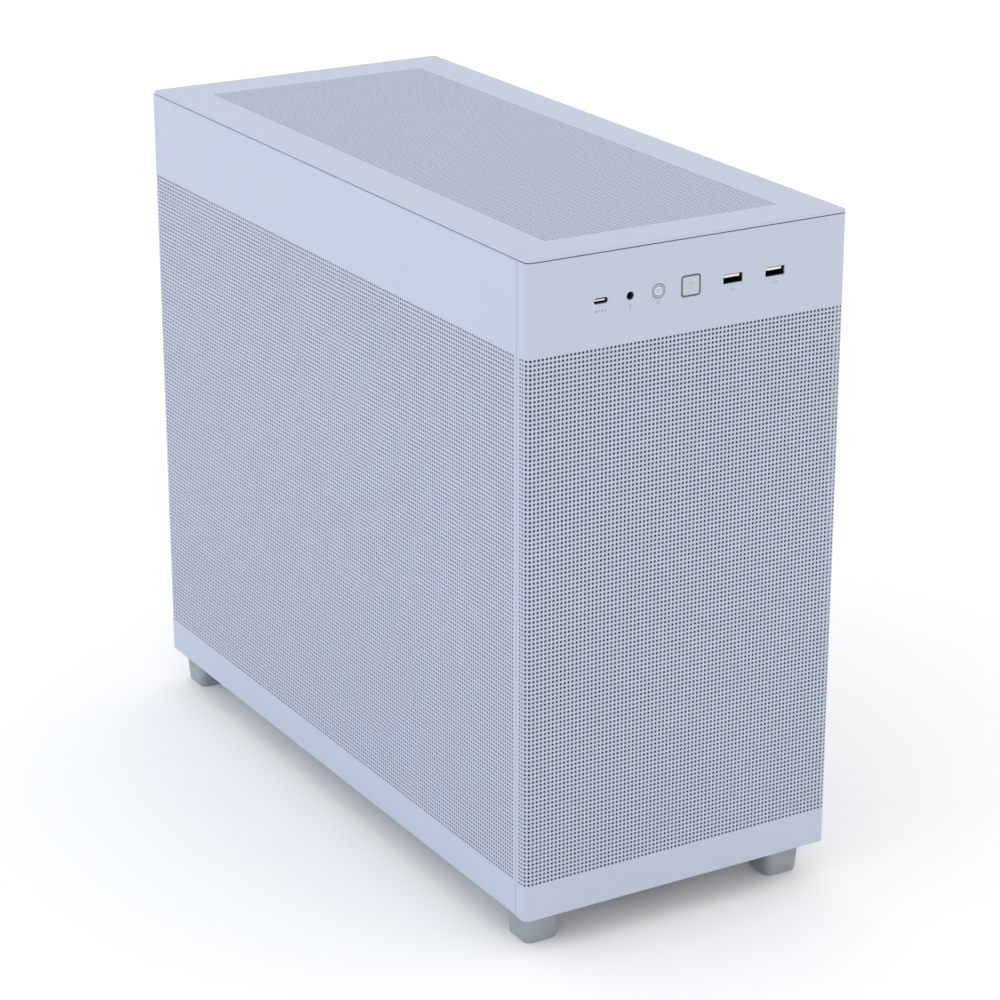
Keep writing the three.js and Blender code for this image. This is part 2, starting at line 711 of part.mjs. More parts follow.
// Tower cooler: a base on the processor, a spine of heat pipes and a stack of fins.
const FIN_STACK_X = [-76, 42];
const FIN_STACK_Y = [110, 158];
const FIN_STACK_Z = [CPU_Z - FAN_SIZE / 2, CPU_Z + FAN_SIZE / 2];
const FIN_PITCH = 13;
const FIN_THICK = 1.2;
const fins = [];
for (let x = FIN_STACK_X[0]; x <= FIN_STACK_X[1]; x += FIN_PITCH) {
  fins.push(block([x, x + FIN_THICK], FIN_STACK_Y, FIN_STACK_Z));
}
piece(
  'cpu_cooler',
  join(
    block([SOCKET_FACE - GAP - 12, SOCKET_FACE - GAP], [CPU_Y - 19, CPU_Y + 19], [CPU_Z - 19, CPU_Z + 19]),
    ...[-42, -14, 14, 42].map((offset) =>
      block([FIN_STACK_X[0] - 2, 48], [131, 137], [CPU_Z + offset - 3, CPU_Z + offset + 3]),
    ),
    block([44, 54], [129, 139], [CPU_Z - 45, CPU_Z + 45]),
    ...fins,
  ),
  'bareMetal',
);

// ---------------------------------------------------------------- fans

const HUB_RADIUS = 19;
const BLADE_COUNT = 7;
const BLADE_TILT = 0.6;

/** Square fan frame that blows along Y, with a hub plate on four arms at its back. */
function fanFrame(x, [y0, y1], z, opening) {
  const half = FAN_SIZE / 2;
  const arms = [0, 1].map((turn) => {
    const bar = new THREE.BoxGeometry(2 * opening + 3, 3, 5);
    return bar.rotateY(Math.PI / 4 + (turn * Math.PI) / 2).translate(x, y1 - 1.5, z);
  });
  return join(
    cut(
      pushedBack(roundedRectangle(2 * half, 2 * half, 5), [y0, y1], x, z, 3),
      barAlongY(opening, [y0 - 1, y1 + 1], x, z, 40),
    ),
    barAlongY(HUB_RADIUS + 1, [y1 - 4, y1], x, z, 24),
    ...arms,
  );
}

/** Hub and tilted blades that turn about Y. */
function fanRotor(x, [y0, y1], z, radius) {
  const depth = y1 - y0;
  const blades = [];
  for (let i = 0; i < BLADE_COUNT; i += 1) {
    const blade = new THREE.BoxGeometry(radius, 1.6, 30);
    blade.rotateX(BLADE_TILT).translate(HUB_RADIUS - 4 + radius / 2, 0, 0);
    blades.push(blade.rotateY((2 * Math.PI * i) / BLADE_COUNT));
  }
  const swept = barAlongY(radius, [-depth / 2, depth / 2], 0, 0, 27);
  const hub = barAlongY(HUB_RADIUS, [-depth / 2, depth / 2], 0, 0);
  return keepInside(join(...blades, hub), swept).translate(x, (y0 + y1) / 2, z);
}

const ROTOR_FRONT_ROOM = 2;
const ROTOR_BACK_ROOM = 5;
const rotorRun = ([y0, y1]) => [y0 + ROTOR_FRONT_ROOM, y1 - ROTOR_BACK_ROOM];

const REAR_FAN_Y = [FRAME_BACK - GAP - FAN_DEPTH, FRAME_BACK - GAP];
piece('rear_fan_frame', fanFrame(REAR_FAN_X, REAR_FAN_Y, REAR_FAN_Z, 57.5), 'fanPlastic');
piece('rear_fan_rotor', fanRotor(REAR_FAN_X, rotorRun(REAR_FAN_Y), REAR_FAN_Z, 56), 'fanPlastic');

const CPU_FAN_X = (FIN_STACK_X[0] + FIN_STACK_X[1]) / 2;
const CPU_FAN_Y = [FIN_STACK_Y[0] - GAP - FAN_DEPTH, FIN_STACK_Y[0] - GAP];
piece('cpu_fan_frame', fanFrame(CPU_FAN_X, CPU_FAN_Y, CPU_Z, 57.5), 'fanPlastic');
piece('cpu_fan_rotor', fanRotor(CPU_FAN_X, rotorRun(CPU_FAN_Y), CPU_Z, 56), 'fanPlastic');

// ---------------------------------------------------------------- power supply and mains parts

const SUPPLY_X = [-75, 75];
const SUPPLY_Y = [-206, -120];
const SUPPLY_Z = [180, 320];
const SUPPLY_FAN_Z = (SUPPLY_Z[0] + SUPPLY_Z[1]) / 2;
const SUPPLY_FAN_DEPTH = 26;
const SOCKET_X = -30;
const SOCKET_Y = -150;
const SWITCH_X = 6;
piece(
  'power_supply',
  cut(
    block(SUPPLY_X, SUPPLY_Y, SUPPLY_Z),
    barAlongY(59, [SUPPLY_Y[0] - 1, SUPPLY_Y[0] + SUPPLY_FAN_DEPTH], 0, SUPPLY_FAN_Z, 40),
    block([SOCKET_X - 14, SOCKET_X + 14], [SOCKET_Y - 10.5, SOCKET_Y + 10.5], [SUPPLY_Z[0] - 1, SUPPLY_Z[0] + 21]),
    block([SWITCH_X - 10.5, SWITCH_X + 10.5], [SOCKET_Y - 7, SOCKET_Y + 7], [SUPPLY_Z[0] - 1, SUPPLY_Z[0] + 12]),
  ),
  'supplySteel',
);
piece(
  'supply_fan_rotor',
  fanRotor(0, [SUPPLY_Y[0] + 3, SUPPLY_Y[0] + SUPPLY_FAN_DEPTH - 3], SUPPLY_FAN_Z, 57),
  'fanPlastic',
);
piece(
  'supply_bracket',
  join(
    cut(
      block([-84, 84], [-212, -122], [SUPPLY_Z[0] - GAP - SHEET, SUPPLY_Z[0] - GAP]),
      block([-52, 24], [SOCKET_Y - 16, SOCKET_Y + 16], [SUPPLY_Z[0] - 4, SUPPLY_Z[0] + 2]),
    ),
    ...[-1, 1].map((sign) => {
      const x = [Math.min(sign * 83, sign * 84), Math.max(sign * 83, sign * 84)];
      return block(x, [FRAME_FRONT + 6, -122], [SUPPLY_Z[0] - 30, SUPPLY_Z[1]]);
    }),
    ...[-1, 1].map((sign) => {
      const x = [Math.min(sign * 78, sign * 84), Math.max(sign * 78, sign * 84)];
      return block(x, [FRAME_FRONT + GAP, FRAME_FRONT + GAP + SHEET], [SUPPLY_Z[0] - 30, SUPPLY_Z[1]]);
    }),
    ...[-1, 1].map((sign) => {
      const x = [Math.min(sign * 83, sign * 84), Math.max(sign * 83, sign * 84)];
      return block(x, [FRAME_FRONT + GAP, FRAME_FRONT + 7], [SUPPLY_Z[0] - 30, SUPPLY_Z[1]]);
    }),
  ),
  'chassisPaint',
);

/** Appliance inlet that opens downwards: a moulded cup with three pins. */
function inletBody() {
  const cup = cut(
    new THREE.BoxGeometry(27.2, 20.2, 20),
    new THREE.BoxGeometry(24, 16, 18).translate(0, 0, -2),
  );
  const pins = [[-7, 2.5], [0, -1.5], [7, 2.5]].map(([x, y]) =>
    new THREE.BoxGeometry(2, 4, 13).translate(x, y, 2),
  );
  return join(cup, ...pins);
}

const SOCKET_MIDDLE = SUPPLY_Z[0] + 10.2;
piece('supply_socket', inletBody().translate(SOCKET_X, SOCKET_Y, SOCKET_MIDDLE), 'jackBlack');
piece('rear_inlet', inletBody().rotateX(Math.PI / 2).translate(INLET_X, BACK - 10, INLET_Z), 'jackBlack');

// Rocker switch beside the socket. It pivots about Y and rests tilted, switched on.
const ROCKER_TILT = 8;
const ROCKER_PIVOT_Z = SUPPLY_Z[0] + 2.5;
piece(
  'switch_frame',
  cut(
    join(
      block([SWITCH_X - 10.2, SWITCH_X + 10.2], [SOCKET_Y - 6.7, SOCKET_Y + 6.7], [SUPPLY_Z[0], SUPPLY_Z[0] + 11.5]),
      block([SWITCH_X - 11, SWITCH_X + 11], [SOCKET_Y - 7.6, SOCKET_Y + 7.6], [SUPPLY_Z[0] - 1.5, SUPPLY_Z[0] - GAP]),
      block([SWITCH_X - 10.2, SWITCH_X + 10.2], [SOCKET_Y - 6.7, SOCKET_Y + 6.7], [SUPPLY_Z[0] - 1, SUPPLY_Z[0] + 1]),
    ),
    block([SWITCH_X - 9.3, SWITCH_X + 9.3], [SOCKET_Y - 5.8, SOCKET_Y + 5.8], [SUPPLY_Z[0] - 3, SUPPLY_Z[0] + 9]),
  ),
  'jackBlack',
);

/** Shallow V of the rocker, centred on its pivot. */
function rockerOutline() {
  const outline = new THREE.Shape();
  outline.moveTo(-8.4, -4.4);
  outline.lineTo(0, -3.2);
  outline.lineTo(8.4, -4.4);
  outline.lineTo(8.2, 1.5);
  outline.lineTo(0, 3.5);
  outline.lineTo(-8.2, 1.5);
  outline.closePath();
  return outline;
}

piece(
  'supply_switch',
  pushedBack(rockerOutline(), [-5.5, 5.5], 0, 0)
    .rotateY(THREE.MathUtils.degToRad(ROCKER_TILT))
    .translate(SWITCH_X, SOCKET_Y, ROCKER_PIVOT_Z),
  'jackBlack',
);

// Extension lead: from the inlet in the rear sheet, along the floor and up to the supply's socket.
const PLUG_BOTTOM = SUPPLY_Z[0] - 26;
piece(
  'mains_plug',
  cut(
    block([SOCKET_X - 11.5, SOCKET_X + 11.5], [SOCKET_Y - 7.5, SOCKET_Y + 7.5], [PLUG_BOTTOM, SUPPLY_Z[0] + 16]),
    ...[[-7, 2.5], [0, -1.5], [7, 2.5]].map(([x, y]) =>
      block(
        [SOCKET_X + x - 1.4, SOCKET_X + x + 1.4],
        [SOCKET_Y + y - 2.4, SOCKET_Y + y + 2.4],
        [SUPPLY_Z[0] + 2, SUPPLY_Z[0] + 17],
      ),
    ),
  ),
  'jackBlack',
);
piece(
  'mains_lead',
  lead(
    [
      [INLET_X, BACK - 20 - GAP, INLET_Z],
      [INLET_X, 190, INLET_Z],
      [-66, 165, 52],
      [-74, 130, 33],
      [-76, 60, 29],
      [-76, -60, 29],
      [-70, -115, 32],
      [-50, -142, 55],
      [-36, SOCKET_Y, 90],
      [SOCKET_X, SOCKET_Y, 125],
      [SOCKET_X, SOCKET_Y, PLUG_BOTTOM - GAP],
    ],
    3.6,
    44,
  ),
  'cable',
);

// ---------------------------------------------------------------- leads between the parts

// Main supply lead to its plug on the board's front edge.
const ATX_PLUG_Y = [BOARD_FRONT + 3, BOARD_FRONT + 13];
const ATX_PLUG_Z = [262, 314];
const ATX_PLUG_X = [BOARD_FACE - 24, BOARD_FACE - GAP];
piece('atx_plug', block(ATX_PLUG_X, ATX_PLUG_Y, ATX_PLUG_Z), 'jackBlack');
piece(
  'atx_cable',
  lead(
    [
      [44, -150, SUPPLY_Z[1] + GAP],
      [44, -150, 332],
      [42, -140, 346],
      [36, -112, 350],
      [30, -70, 330],
      [28, -34, 303],
      [31, -14, 290],
      [38, (ATX_PLUG_Y[0] + ATX_PLUG_Y[1]) / 2, 288],
      [ATX_PLUG_X[0] - GAP, (ATX_PLUG_Y[0] + ATX_PLUG_Y[1]) / 2, 288],
    ],
    5.5,
    32,
  ),
  'cable',
);

// Processor supply lead, which climbs behind the tray and comes through its top corner.
const CPU_PLUG_Y = [166, 186];
const CPU_PLUG_X = [BOARD_FACE - 18, BOARD_FACE - GAP];
piece('cpu_power_plug', block(CPU_PLUG_X, CPU_PLUG_Y, [366, 376]), 'jackBlack');
piece(
  'cpu_power_cable',
  lead(
    [
      [62, -150, SUPPLY_Z[1] + GAP],
      [62, -150, 334],
      [66, -138, 350],
      [78, -100, 360],
      [87, -60, 362],
      [87, 20, 364],
      [87, 110, 372],
      [86, 155, 387],
      [80, 173, 393],
      [68, 177, 393],
      [61, 176, 388],
      [61, 176, 376 + GAP],
    ],
    3.2,
    38,
    6,
  ),
  'cable',
);

// Front port lead to its header low on the board.
const HEADER_Y = [BOARD_FRONT + 4, BOARD_FRONT + 22];
const HEADER_Z = [224, 234];
const HEADER_X = [BOARD_FACE - 14, BOARD_FACE - GAP];
piece('front_panel_plug', block(HEADER_X, HEADER_Y, HEADER_Z), 'jackBlack');
piece(
  'front_panel_cable',
  lead(
    [
      [51, -196 + GAP, PORT_BOARD_TOP + 3.6],
      [52, -186, PORT_BOARD_TOP + 3],
      [56, -160, 372],
      [64, -112, 364],
      [70, -70, 330],
      [66, -46, 280],
      [54, -26, 244],
      [46, -10, 230],
      [50, (HEADER_Y[0] + HEADER_Y[1]) / 2, 229],
      [HEADER_X[0] - GAP, (HEADER_Y[0] + HEADER_Y[1]) / 2, 229],
    ],
    2.4,
    34,
    6,
  ),
  'cable',
);

// Rear fan's lead to a header under it.
piece(
  'rear_fan_lead',
  lead(
    [
      [REAR_FAN_X + 20, REAR_FAN_Y[0] + 12, REAR_FAN_Z - FAN_SIZE / 2 - GAP],
      [REAR_FAN_X + 20, REAR_FAN_Y[0] + 12, REAR_FAN_Z - FAN_SIZE / 2 - 4],
      [REAR_FAN_X + 24, REAR_FAN_Y[0] + 8, 244],
      [8, 196, 236],
      [30, 182, 228],
      [52, 178, 224],
      [62, 178, 224],
      [BOARD_FACE - 1, 178, 224],
    ],
    1.4,
    24,
    6,
  ),
  'cable',
);

// Processor fan's lead, round the edge of the fan to a header above the socket.
piece(
  'cpu_fan_lead',
  lead(
    [
      [CPU_FAN_X + FAN_SIZE / 2 + GAP, CPU_FAN_Y[0] + 12, CPU_Z + 30],
      [52, CPU_FAN_Y[0] + 11, CPU_Z + 32],
      [58, 84, CPU_Z + 40],
      [60, 77, CPU_Z + 53],
      [65, 76, CPU_Z + 56],
      [BOARD_FACE - 1, 76, CPU_Z + 56],
    ],
    1.4,
    16,
    6,
  ),
  'cable',
);

// ---------------------------------------------------------------- slot covers and their clamp

const COVER_Y = [FRAME_BACK - GAP - 0.8, FRAME_BACK - GAP];
const COVER_X = [SLOT_MIDDLE_X - SLOT_LENGTH / 2 - 5, SLOT_MIDDLE_X + SLOT_LENGTH / 2 + 5];
const COVER_TAB = 11;
for (let slot = 0; slot < SLOT_COUNT; slot += 1) {
  const z = [slotLevel(slot) - 9.2, slotLevel(slot) + 9.2];
  piece(
    `slot_cover_${slot + 1}`,
    join(
      block(COVER_X, COVER_Y, z),
      block([COVER_X[0], COVER_X[0] + 0.8], [COVER_Y[0] - COVER_TAB, COVER_Y[1]], z),
    ),
    'chassisPaint',
  );
}
const CLAMP_X = [COVER_X[0] - GAP - 1.2, COVER_X[0] - GAP];
const CLAMP_Z = [slotLevel(SLOT_COUNT - 1) - 14, slotLevel(0) + 14];
const CLAMP_Y = [COVER_Y[0] - COVER_TAB - 2, FRAME_BACK - GAP];
piece(
  'slot_clamp',
  join(
    block(CLAMP_X, CLAMP_Y, CLAMP_Z),
    block([CLAMP_X[0] - 12, CLAMP_X[1]], [CLAMP_Y[1] - 1.2, CLAMP_Y[1]], CLAMP_Z),
  ),
  'chassisPaint',
);
[CLAMP_Z[0] + 8, CLAMP_Z[1] - 8].forEach((z, index) => {
  const screwX = CLAMP_X[0] - 7;
  piece(
    `thumb_screw_${index + 1}`,
    join(
      barAlongY(4.5, [CLAMP_Y[1] - 1.2 - GAP - 7, CLAMP_Y[1] - 1.2 - GAP], screwX, z, 16),
      barAlongY(2.4, [CLAMP_Y[1] - 1.2 - GAP - 8.5, CLAMP_Y[1] - 1.2 - GAP - 6], screwX, z, 12),
    ),
    'bareMetal',
  );
});

export default tower;
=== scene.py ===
# %% [markdown]
# # A desktop computer tower with punched steel panels
# The tower is a box of thin powder-coated sheets, punched with tens of thousands of small round
# holes and folded at their edges, over a steel chassis that holds the computer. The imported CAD
# model is the frame: it says where each part is and how it moves. This lesson gives the parts
# their fine shape and their finish. Everything is in metres, +Z up, with the front towards -Y.

# %% Load the frame
import json
import math
import random
from collections import namedtuple

import bmesh
import bpy
from mathutils import Matrix, Vector


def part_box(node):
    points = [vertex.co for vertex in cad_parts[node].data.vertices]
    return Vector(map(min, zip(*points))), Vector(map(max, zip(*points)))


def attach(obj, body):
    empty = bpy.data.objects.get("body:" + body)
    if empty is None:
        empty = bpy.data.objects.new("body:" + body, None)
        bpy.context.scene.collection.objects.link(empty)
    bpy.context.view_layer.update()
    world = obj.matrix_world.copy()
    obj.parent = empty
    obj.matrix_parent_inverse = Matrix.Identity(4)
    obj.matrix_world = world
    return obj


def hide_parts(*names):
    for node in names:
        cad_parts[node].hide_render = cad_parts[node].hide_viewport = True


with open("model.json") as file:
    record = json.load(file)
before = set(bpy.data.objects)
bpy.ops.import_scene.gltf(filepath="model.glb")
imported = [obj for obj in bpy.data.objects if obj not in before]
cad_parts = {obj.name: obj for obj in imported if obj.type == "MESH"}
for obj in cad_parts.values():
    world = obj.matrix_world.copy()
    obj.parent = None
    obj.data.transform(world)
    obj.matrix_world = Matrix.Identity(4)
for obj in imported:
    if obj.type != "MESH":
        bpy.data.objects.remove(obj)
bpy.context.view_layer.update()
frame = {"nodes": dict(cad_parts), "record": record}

MM = 0.001
scene = bpy.context.scene


# %% [markdown]
# ## Camera
# The tower is looked at from its front left corner and a little above, with a long lens, so its
# upright edges stay almost parallel. The camera is placed by the direction it looks from and its
# distance. Its axes are worked out from that direction, which keeps the horizon level.

# %% The camera
CAMERA_PLACE = Vector((-918.05, -1584.57, 852.63)) * MM
CAMERA_AZIMUTH = math.radians(-30.549)
CAMERA_ELEVATION = math.radians(20.113)
LENS_MM = 114.3

backwards = Vector((
    math.sin(CAMERA_AZIMUTH) * math.cos(CAMERA_ELEVATION),
    -math.cos(CAMERA_AZIMUTH) * math.cos(CAMERA_ELEVATION),
    math.sin(CAMERA_ELEVATION),
))
sideways = Vector((0, 0, 1)).cross(backwards).normalized()
upwards = backwards.cross(sideways)

camera = bpy.data.objects.new("camera", bpy.data.cameras.new("camera"))
camera.data.lens = LENS_MM
camera.data.clip_end = 20
camera.matrix_world = Matrix.Translation(CAMERA_PLACE) @ Matrix(
    (sideways, upwards, backwards)
).transposed().to_4x4()
scene.collection.objects.link(camera)
scene.camera = camera
print("camera at", [round(c, 3) for c in CAMERA_PLACE])


# %% [markdown]
# ## Floor and light
# A pale floor and a pale world give the even, almost shadowless light of a product picture. A big
# soft lamp over the left side makes that side and the roof a little brighter and bluer than the
# front, and a weaker, more neutral one lights the front.

# %% Floor, world and lamps
FLOOR_HALF = 6.0


def soft_lamp(name, place, target, size, watts, colour):
    """One square area lamp that points from a place to a target."""
    data = bpy.data.lights.new(name, "AREA")
    data.size = size
    data.energy = watts
    data.color = colour
    lamp = bpy.data.objects.new(name, data)
    lamp.location = place
    lamp.rotation_euler = (Vector(target) - Vector(place)).to_track_quat("-Z", "Y").to_euler()
    scene.collection.objects.link(lamp)
    return lamp


world = bpy.data.worlds.new("studio")
world.use_nodes = True
world.node_tree.nodes["Background"].inputs["Color"].default_value = (1.0, 1.0, 1.0, 1)
world.node_tree.nodes["Background"].inputs["Strength"].default_value = 1.06
scene.world = world
scene.view_settings.view_transform = "Standard"

soft_lamp("left_softbox", (-2.2, 0.2, 1.2), (0, 0, 0.2), 1.6, 9, (0.70, 0.86, 1.0))
soft_lamp("front_softbox", (0.7, -2.4, 0.5), (0, 0, 0.15), 1.2, 5, (1.0, 0.88, 0.45))

floor_paint = bpy.data.materials.new("floor_paint")
floor_paint.use_nodes = True
floor_paint.node_tree.nodes["Principled BSDF"].inputs["Base Color"].default_value = (0.99, 0.99, 0.99, 1)
floor_paint.node_tree.nodes["Principled BSDF"].inputs["Roughness"].default_value = 0.9
floor_mesh = bmesh.new()
bmesh.ops.create_grid(floor_mesh, x_segments=1, y_segments=1, size=FLOOR_HALF)
studio_floor = bpy.data.objects.new("studio_floor", bpy.data.meshes.new("studio_floor"))
floor_mesh.to_mesh(studio_floor.data)
studio_floor.data.materials.append(floor_paint)
floor_mesh.free()
scene.collection.objects.link(studio_floor)


# %% [markdown]
# ## Materials as sums
# A finish is a small sum of noises that shifts a colour, a roughness or a bump. Writing it as
# Python arithmetic is easier to read than a list of nodes and links. `Value` wraps one output
# socket, and each operator on it adds the Math node that does the same. `Finish` holds one
# material, and its `add` makes any other node from its type, its settings and its inputs.

# %% Value and Finish
class Value:
    """An output socket that can stand in a sum."""

    def __init__(self, finish, socket):
        self.finish = finish
        self.socket = socket

    def math(self, operation, *others):
        return self.finish.add("Math", {"operation": operation}, dict(enumerate((self, *others))))

    def __add__(self, other):
        return self.math("ADD", other)

    def __sub__(self, other):
        return self.math("SUBTRACT", other)

    def __mul__(self, other):
        return self.math("MULTIPLY", other)

    def __rsub__(self, other):
        return self.finish.add("Math", {"operation": "SUBTRACT"}, {0: other, 1: self})

    __radd__ = __add__
    __rmul__ = __mul__


class Finish:
    """One material: its shader's constants are given by name, and its patterns are added after."""

    def __init__(self, name, **constants):
        self.name = name
        self.material = bpy.data.materials.new(name)
        self.material.use_nodes = True
        self.tree = self.material.node_tree
        self.shader = self.tree.nodes["Principled BSDF"]
        for key, value in constants.items():
            self.feed(key.replace("_", " ").title().replace("Ior", "IOR"), value)
        self.place = self.add("TexCoord", output="Object")

    def add(self, kind, settings=(), inputs=(), output=0):
        """A node of one kind, its settings made first and its sockets filled next."""
        node = self.tree.nodes.new("ShaderNode" + kind)
        for key, value in dict(settings).items():
            if key == "stops":
                for element, (position, colour) in zip(node.color_ramp.elements, value):
                    element.position, element.color = position, colour
            else:
                setattr(node, key, value)
        for key, value in dict(inputs).items():
            self.fill(node.inputs[key], value)
        return Value(self, node.outputs[output])

    def fill(self, socket, value):
        if isinstance(value, Value):
            self.tree.links.new(value.socket, socket)
        else:
            socket.default_value = value

    def feed(self, socket, value):
        """Gives a number, a colour or a pattern to one of the shader's own sockets."""
        self.fill(self.shader.inputs[socket], value)

    def noise(self, scale, detail=3.0, roughness=0.5, place=None):
        """Cloudy noise from 0 to 1 with about `scale` features a metre."""
        settings = {"Scale": scale, "Detail": detail, "Roughness": roughness}
        return self.add("TexNoise", inputs={"Vector": place or self.place, **settings})

    def stretched(self, x, y, z):
        """The place on the object, stretched along each axis."""
        return self.add("VectorMath", {"operation": "MULTIPLY"}, {0: self.place, 1: (x, y, z)})

    def mix(self, factor, first, second):
        """A colour between two others."""
        return self.add(
            "Mix", {"data_type": "RGBA"}, {0: factor, 6: rgba(first), 7: rgba(second)}, output=2
        )

    def bump(self, height, strength, distance):
        """A surface relief from a height pattern."""
        inputs = {"Height": height, "Strength": strength, "Distance": distance}
        self.feed("Normal", self.add("Bump", inputs=inputs, output="Normal"))
        return self


def rgba(colour):
    """A colour of three numbers gets an alpha, and a pattern stays as it is."""
    return colour if isinstance(colour, Value) else (*colour, 1)


print("Value and Finish are ready")


# %% [markdown]
# ## Powder coat
# The panels are steel with a pale blue-grey powder coat, baked on at 200 degrees. The powder melts
# into a film with a fine orange-peel grain, so gloss is broken up at less than a millimetre, and
# the film is a touch thicker, and darker, in slow clouds. Two noises shift the colour, one shifts
# the roughness, and a fine one gives the relief. The chassis has the same coat, a little whiter.

# %% Painted steel
def powder_coat(name, light, dark, roughness):
    """Baked paint with a fine grain, between two colours."""
    coat = Finish(name, metallic=0.0, coat_weight=0.12, coat_roughness=0.3, ior=1.5)
    clouds = coat.noise(14, detail=2)
    grain = coat.noise(2600, detail=2)
    coat.feed("Base Color", coat.mix(clouds * 0.5 + grain * 0.5, dark, light))
    coat.feed("Roughness", roughness + (grain - 0.5) * 0.22 + (clouds - 0.5) * 0.08)
    return coat.bump(grain, 0.16, 0.0003)


PANEL_LIGHT = (0.462, 0.508, 0.630)
PANEL_DARK = (0.420, 0.465, 0.582)
panel_paint = powder_coat("panel_paint", PANEL_LIGHT, PANEL_DARK, 0.46)
chassis_paint = powder_coat("chassis_paint", (0.47, 0.50, 0.56), (0.42, 0.45, 0.51), 0.5)
print("painted:", panel_paint.name, chassis_paint.name)


# %% [markdown]
# ## Making a piece
# Every piece is drawn in place as a bmesh, given a finish, and handed to the body that it moves
# with. Its object stays at the origin. Sheets get their thickness from a Solidify modifier, which
# goes inwards from the drawn outer face.

# %% Pieces and sheets
SHEET = 1.0 * MM


def make_piece(name, shape, body, finish, stands_for=()):
    """A named piece from a finished bmesh, riding on a body; its slot is its finish's own name."""
    mesh = bpy.data.meshes.new(name)
    shape.to_mesh(mesh)
    shape.free()
    mesh.materials.append(finish.material)
    piece = bpy.data.objects.new(name, mesh)
    scene.collection.objects.link(piece)
    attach(piece, body)
    if stands_for:
        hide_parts(*stands_for)
    return piece


def give_thickness(piece, thickness=SHEET):
    """Turns an open sheet into metal of even thickness, inwards from its drawn face."""
    solid = piece.modifiers.new("thickness", "SOLIDIFY")
    solid.thickness = thickness
    solid.offset = -1
    solid.use_even_offset = True
    return piece


def face_towards(shape, direction):
    """Makes all the faces of an open sheet look the given way on the whole."""
    bmesh.ops.recalc_face_normals(shape, faces=shape.faces)
    total = sum((f.normal * f.calc_area() for f in shape.faces), Vector())
    if total.dot(Vector(direction)) < 0:
        bmesh.ops.reverse_faces(shape, faces=shape.faces)
    return shape


print("sheets are", SHEET / MM, "mm thick")


# %% [markdown]
# ## The punched field
# A turret punch drives thousands of round holes through the flat blank, on a square grid, before
# it is folded. One square of sheet with a hole is drawn, two Array modifiers repeat it and weld the
# copies, and the grid lines between the holes are dissolved. What stays is the least number of
# faces that such a field can have, and a hole of six sides reads as round at this size.

# %% One square, repeated
PITCH = 2.5 * MM
HOLE_RADIUS = 0.9 * MM
HOLE_SIDES = 6
SPOKES = (0, 1, 2, 4, 6)     # where the lines from the square's sides meet the hole's corners


def around(verts):
    """Vertices in the order of their angle round the origin."""
    return sorted(verts, key=lambda v: round(math.atan2(v.co.y, v.co.x), 4) % (2 * math.pi))


def punched_square():
    """One square of sheet with a hole, as four corner faces."""
    tile = bmesh.new()
    bmesh.ops.create_grid(tile, x_segments=2, y_segments=2, size=PITCH / 2)
    middle = [v for v in tile.verts if v.co.length < PITCH / 8]
    bmesh.ops.delete(tile, geom=middle, context="VERTS")
    outer = around(tile.verts)
    bmesh.ops.create_circle(tile, segments=HOLE_SIDES, radius=HOLE_RADIUS)
    inner = around(set(tile.verts) - set(outer))
    for quarter in range(4):
        corner = [outer[(2 * quarter + k) % 8] for k in range(3)]
        rim = [inner[k % HOLE_SIDES] for k in range(SPOKES[quarter], SPOKES[quarter + 1] + 1)]
        tile.faces.new(corner + rim[::-1])
    return tile


def punched_field(columns, rows):
    """A flat field of holes from the origin towards +X and +Y, in its own bmesh."""
    mesh = bpy.data.meshes.new("field")
    tile = punched_square()
    bmesh.ops.translate(tile, verts=tile.verts, vec=(PITCH / 2, PITCH / 2, 0))
    tile.to_mesh(mesh)
    tile.free()
    maker = bpy.data.objects.new("field", mesh)
    scene.collection.objects.link(maker)
    for count, step in ((columns, (PITCH, 0, 0)), (rows, (0, PITCH, 0))):
        array = maker.modifiers.new("repeat", "ARRAY")
        array.count = count
        array.use_relative_offset = False
        array.use_constant_offset = True
        array.constant_offset_displace = step
        array.use_merge_vertices = True
        array.merge_threshold = PITCH / 100
    field = bmesh.new()
    field.from_object(maker, bpy.context.evaluated_depsgraph_get())
    bpy.data.objects.remove(maker)
    bpy.data.meshes.remove(mesh)
    inside = [v for v in field.verts if not v.is_boundary]
    corners = [v for v in inside if all(abs(c / PITCH - round(c / PITCH)) < 0.1 for c in v.co)]
    bmesh.ops.dissolve_verts(field, verts=corners)
    spare = [v for v in field.verts if len(v.link_edges) == 2 and not v.is_boundary]
    bmesh.ops.dissolve_verts(field, verts=spare)
    return field


trial = punched_field(4, 3)
print("12 holes take", len(trial.faces), "faces and", len(trial.verts), "vertices")
trial.free()


# %% [markdown]
# ## Flat sheets with openings
# A blank is an outline with other outlines cut out of it. Each outline is a rectangle whose corners
# are rounded with a vertex bevel and whose face is then thrown away, and Triangle Fill closes what
# lies between them all. The folds come after that, by extruding the blank's outer edges.

# %% Outlines, blanks and folds
def soften(shape, geom, offset, segments, affect="EDGES"):
    """Rounds edges or corners; the new faces come back."""
    return bmesh.ops.bevel(
        shape, geom=geom, offset=offset, segments=segments, profile=0.5, affect=affect, material=-1
    )["faces"]


def outline(shape, width, height, radius=0.0, centre=(0, 0), steps=4):
    """The edges of a rectangle, with rounded corners if a radius is given."""
    made = bmesh.ops.create_grid(shape, x_segments=1, y_segments=1, size=0.5)["verts"]
    bmesh.ops.scale(shape, verts=made, vec=(width, height, 1))
    bmesh.ops.translate(shape, verts=made, vec=(*centre, 0))
    if radius:
        soften(shape, made, radius, steps, "VERTICES")
    bmesh.ops.delete(shape, geom=shape.faces[:], context="FACES_ONLY")


def round_outline(shape, radius, centre, sides=24):
    """The edges of a circle."""
    made = bmesh.ops.create_circle(shape, segments=sides, radius=radius)["verts"]
    bmesh.ops.translate(shape, verts=made, vec=(*centre, 0))


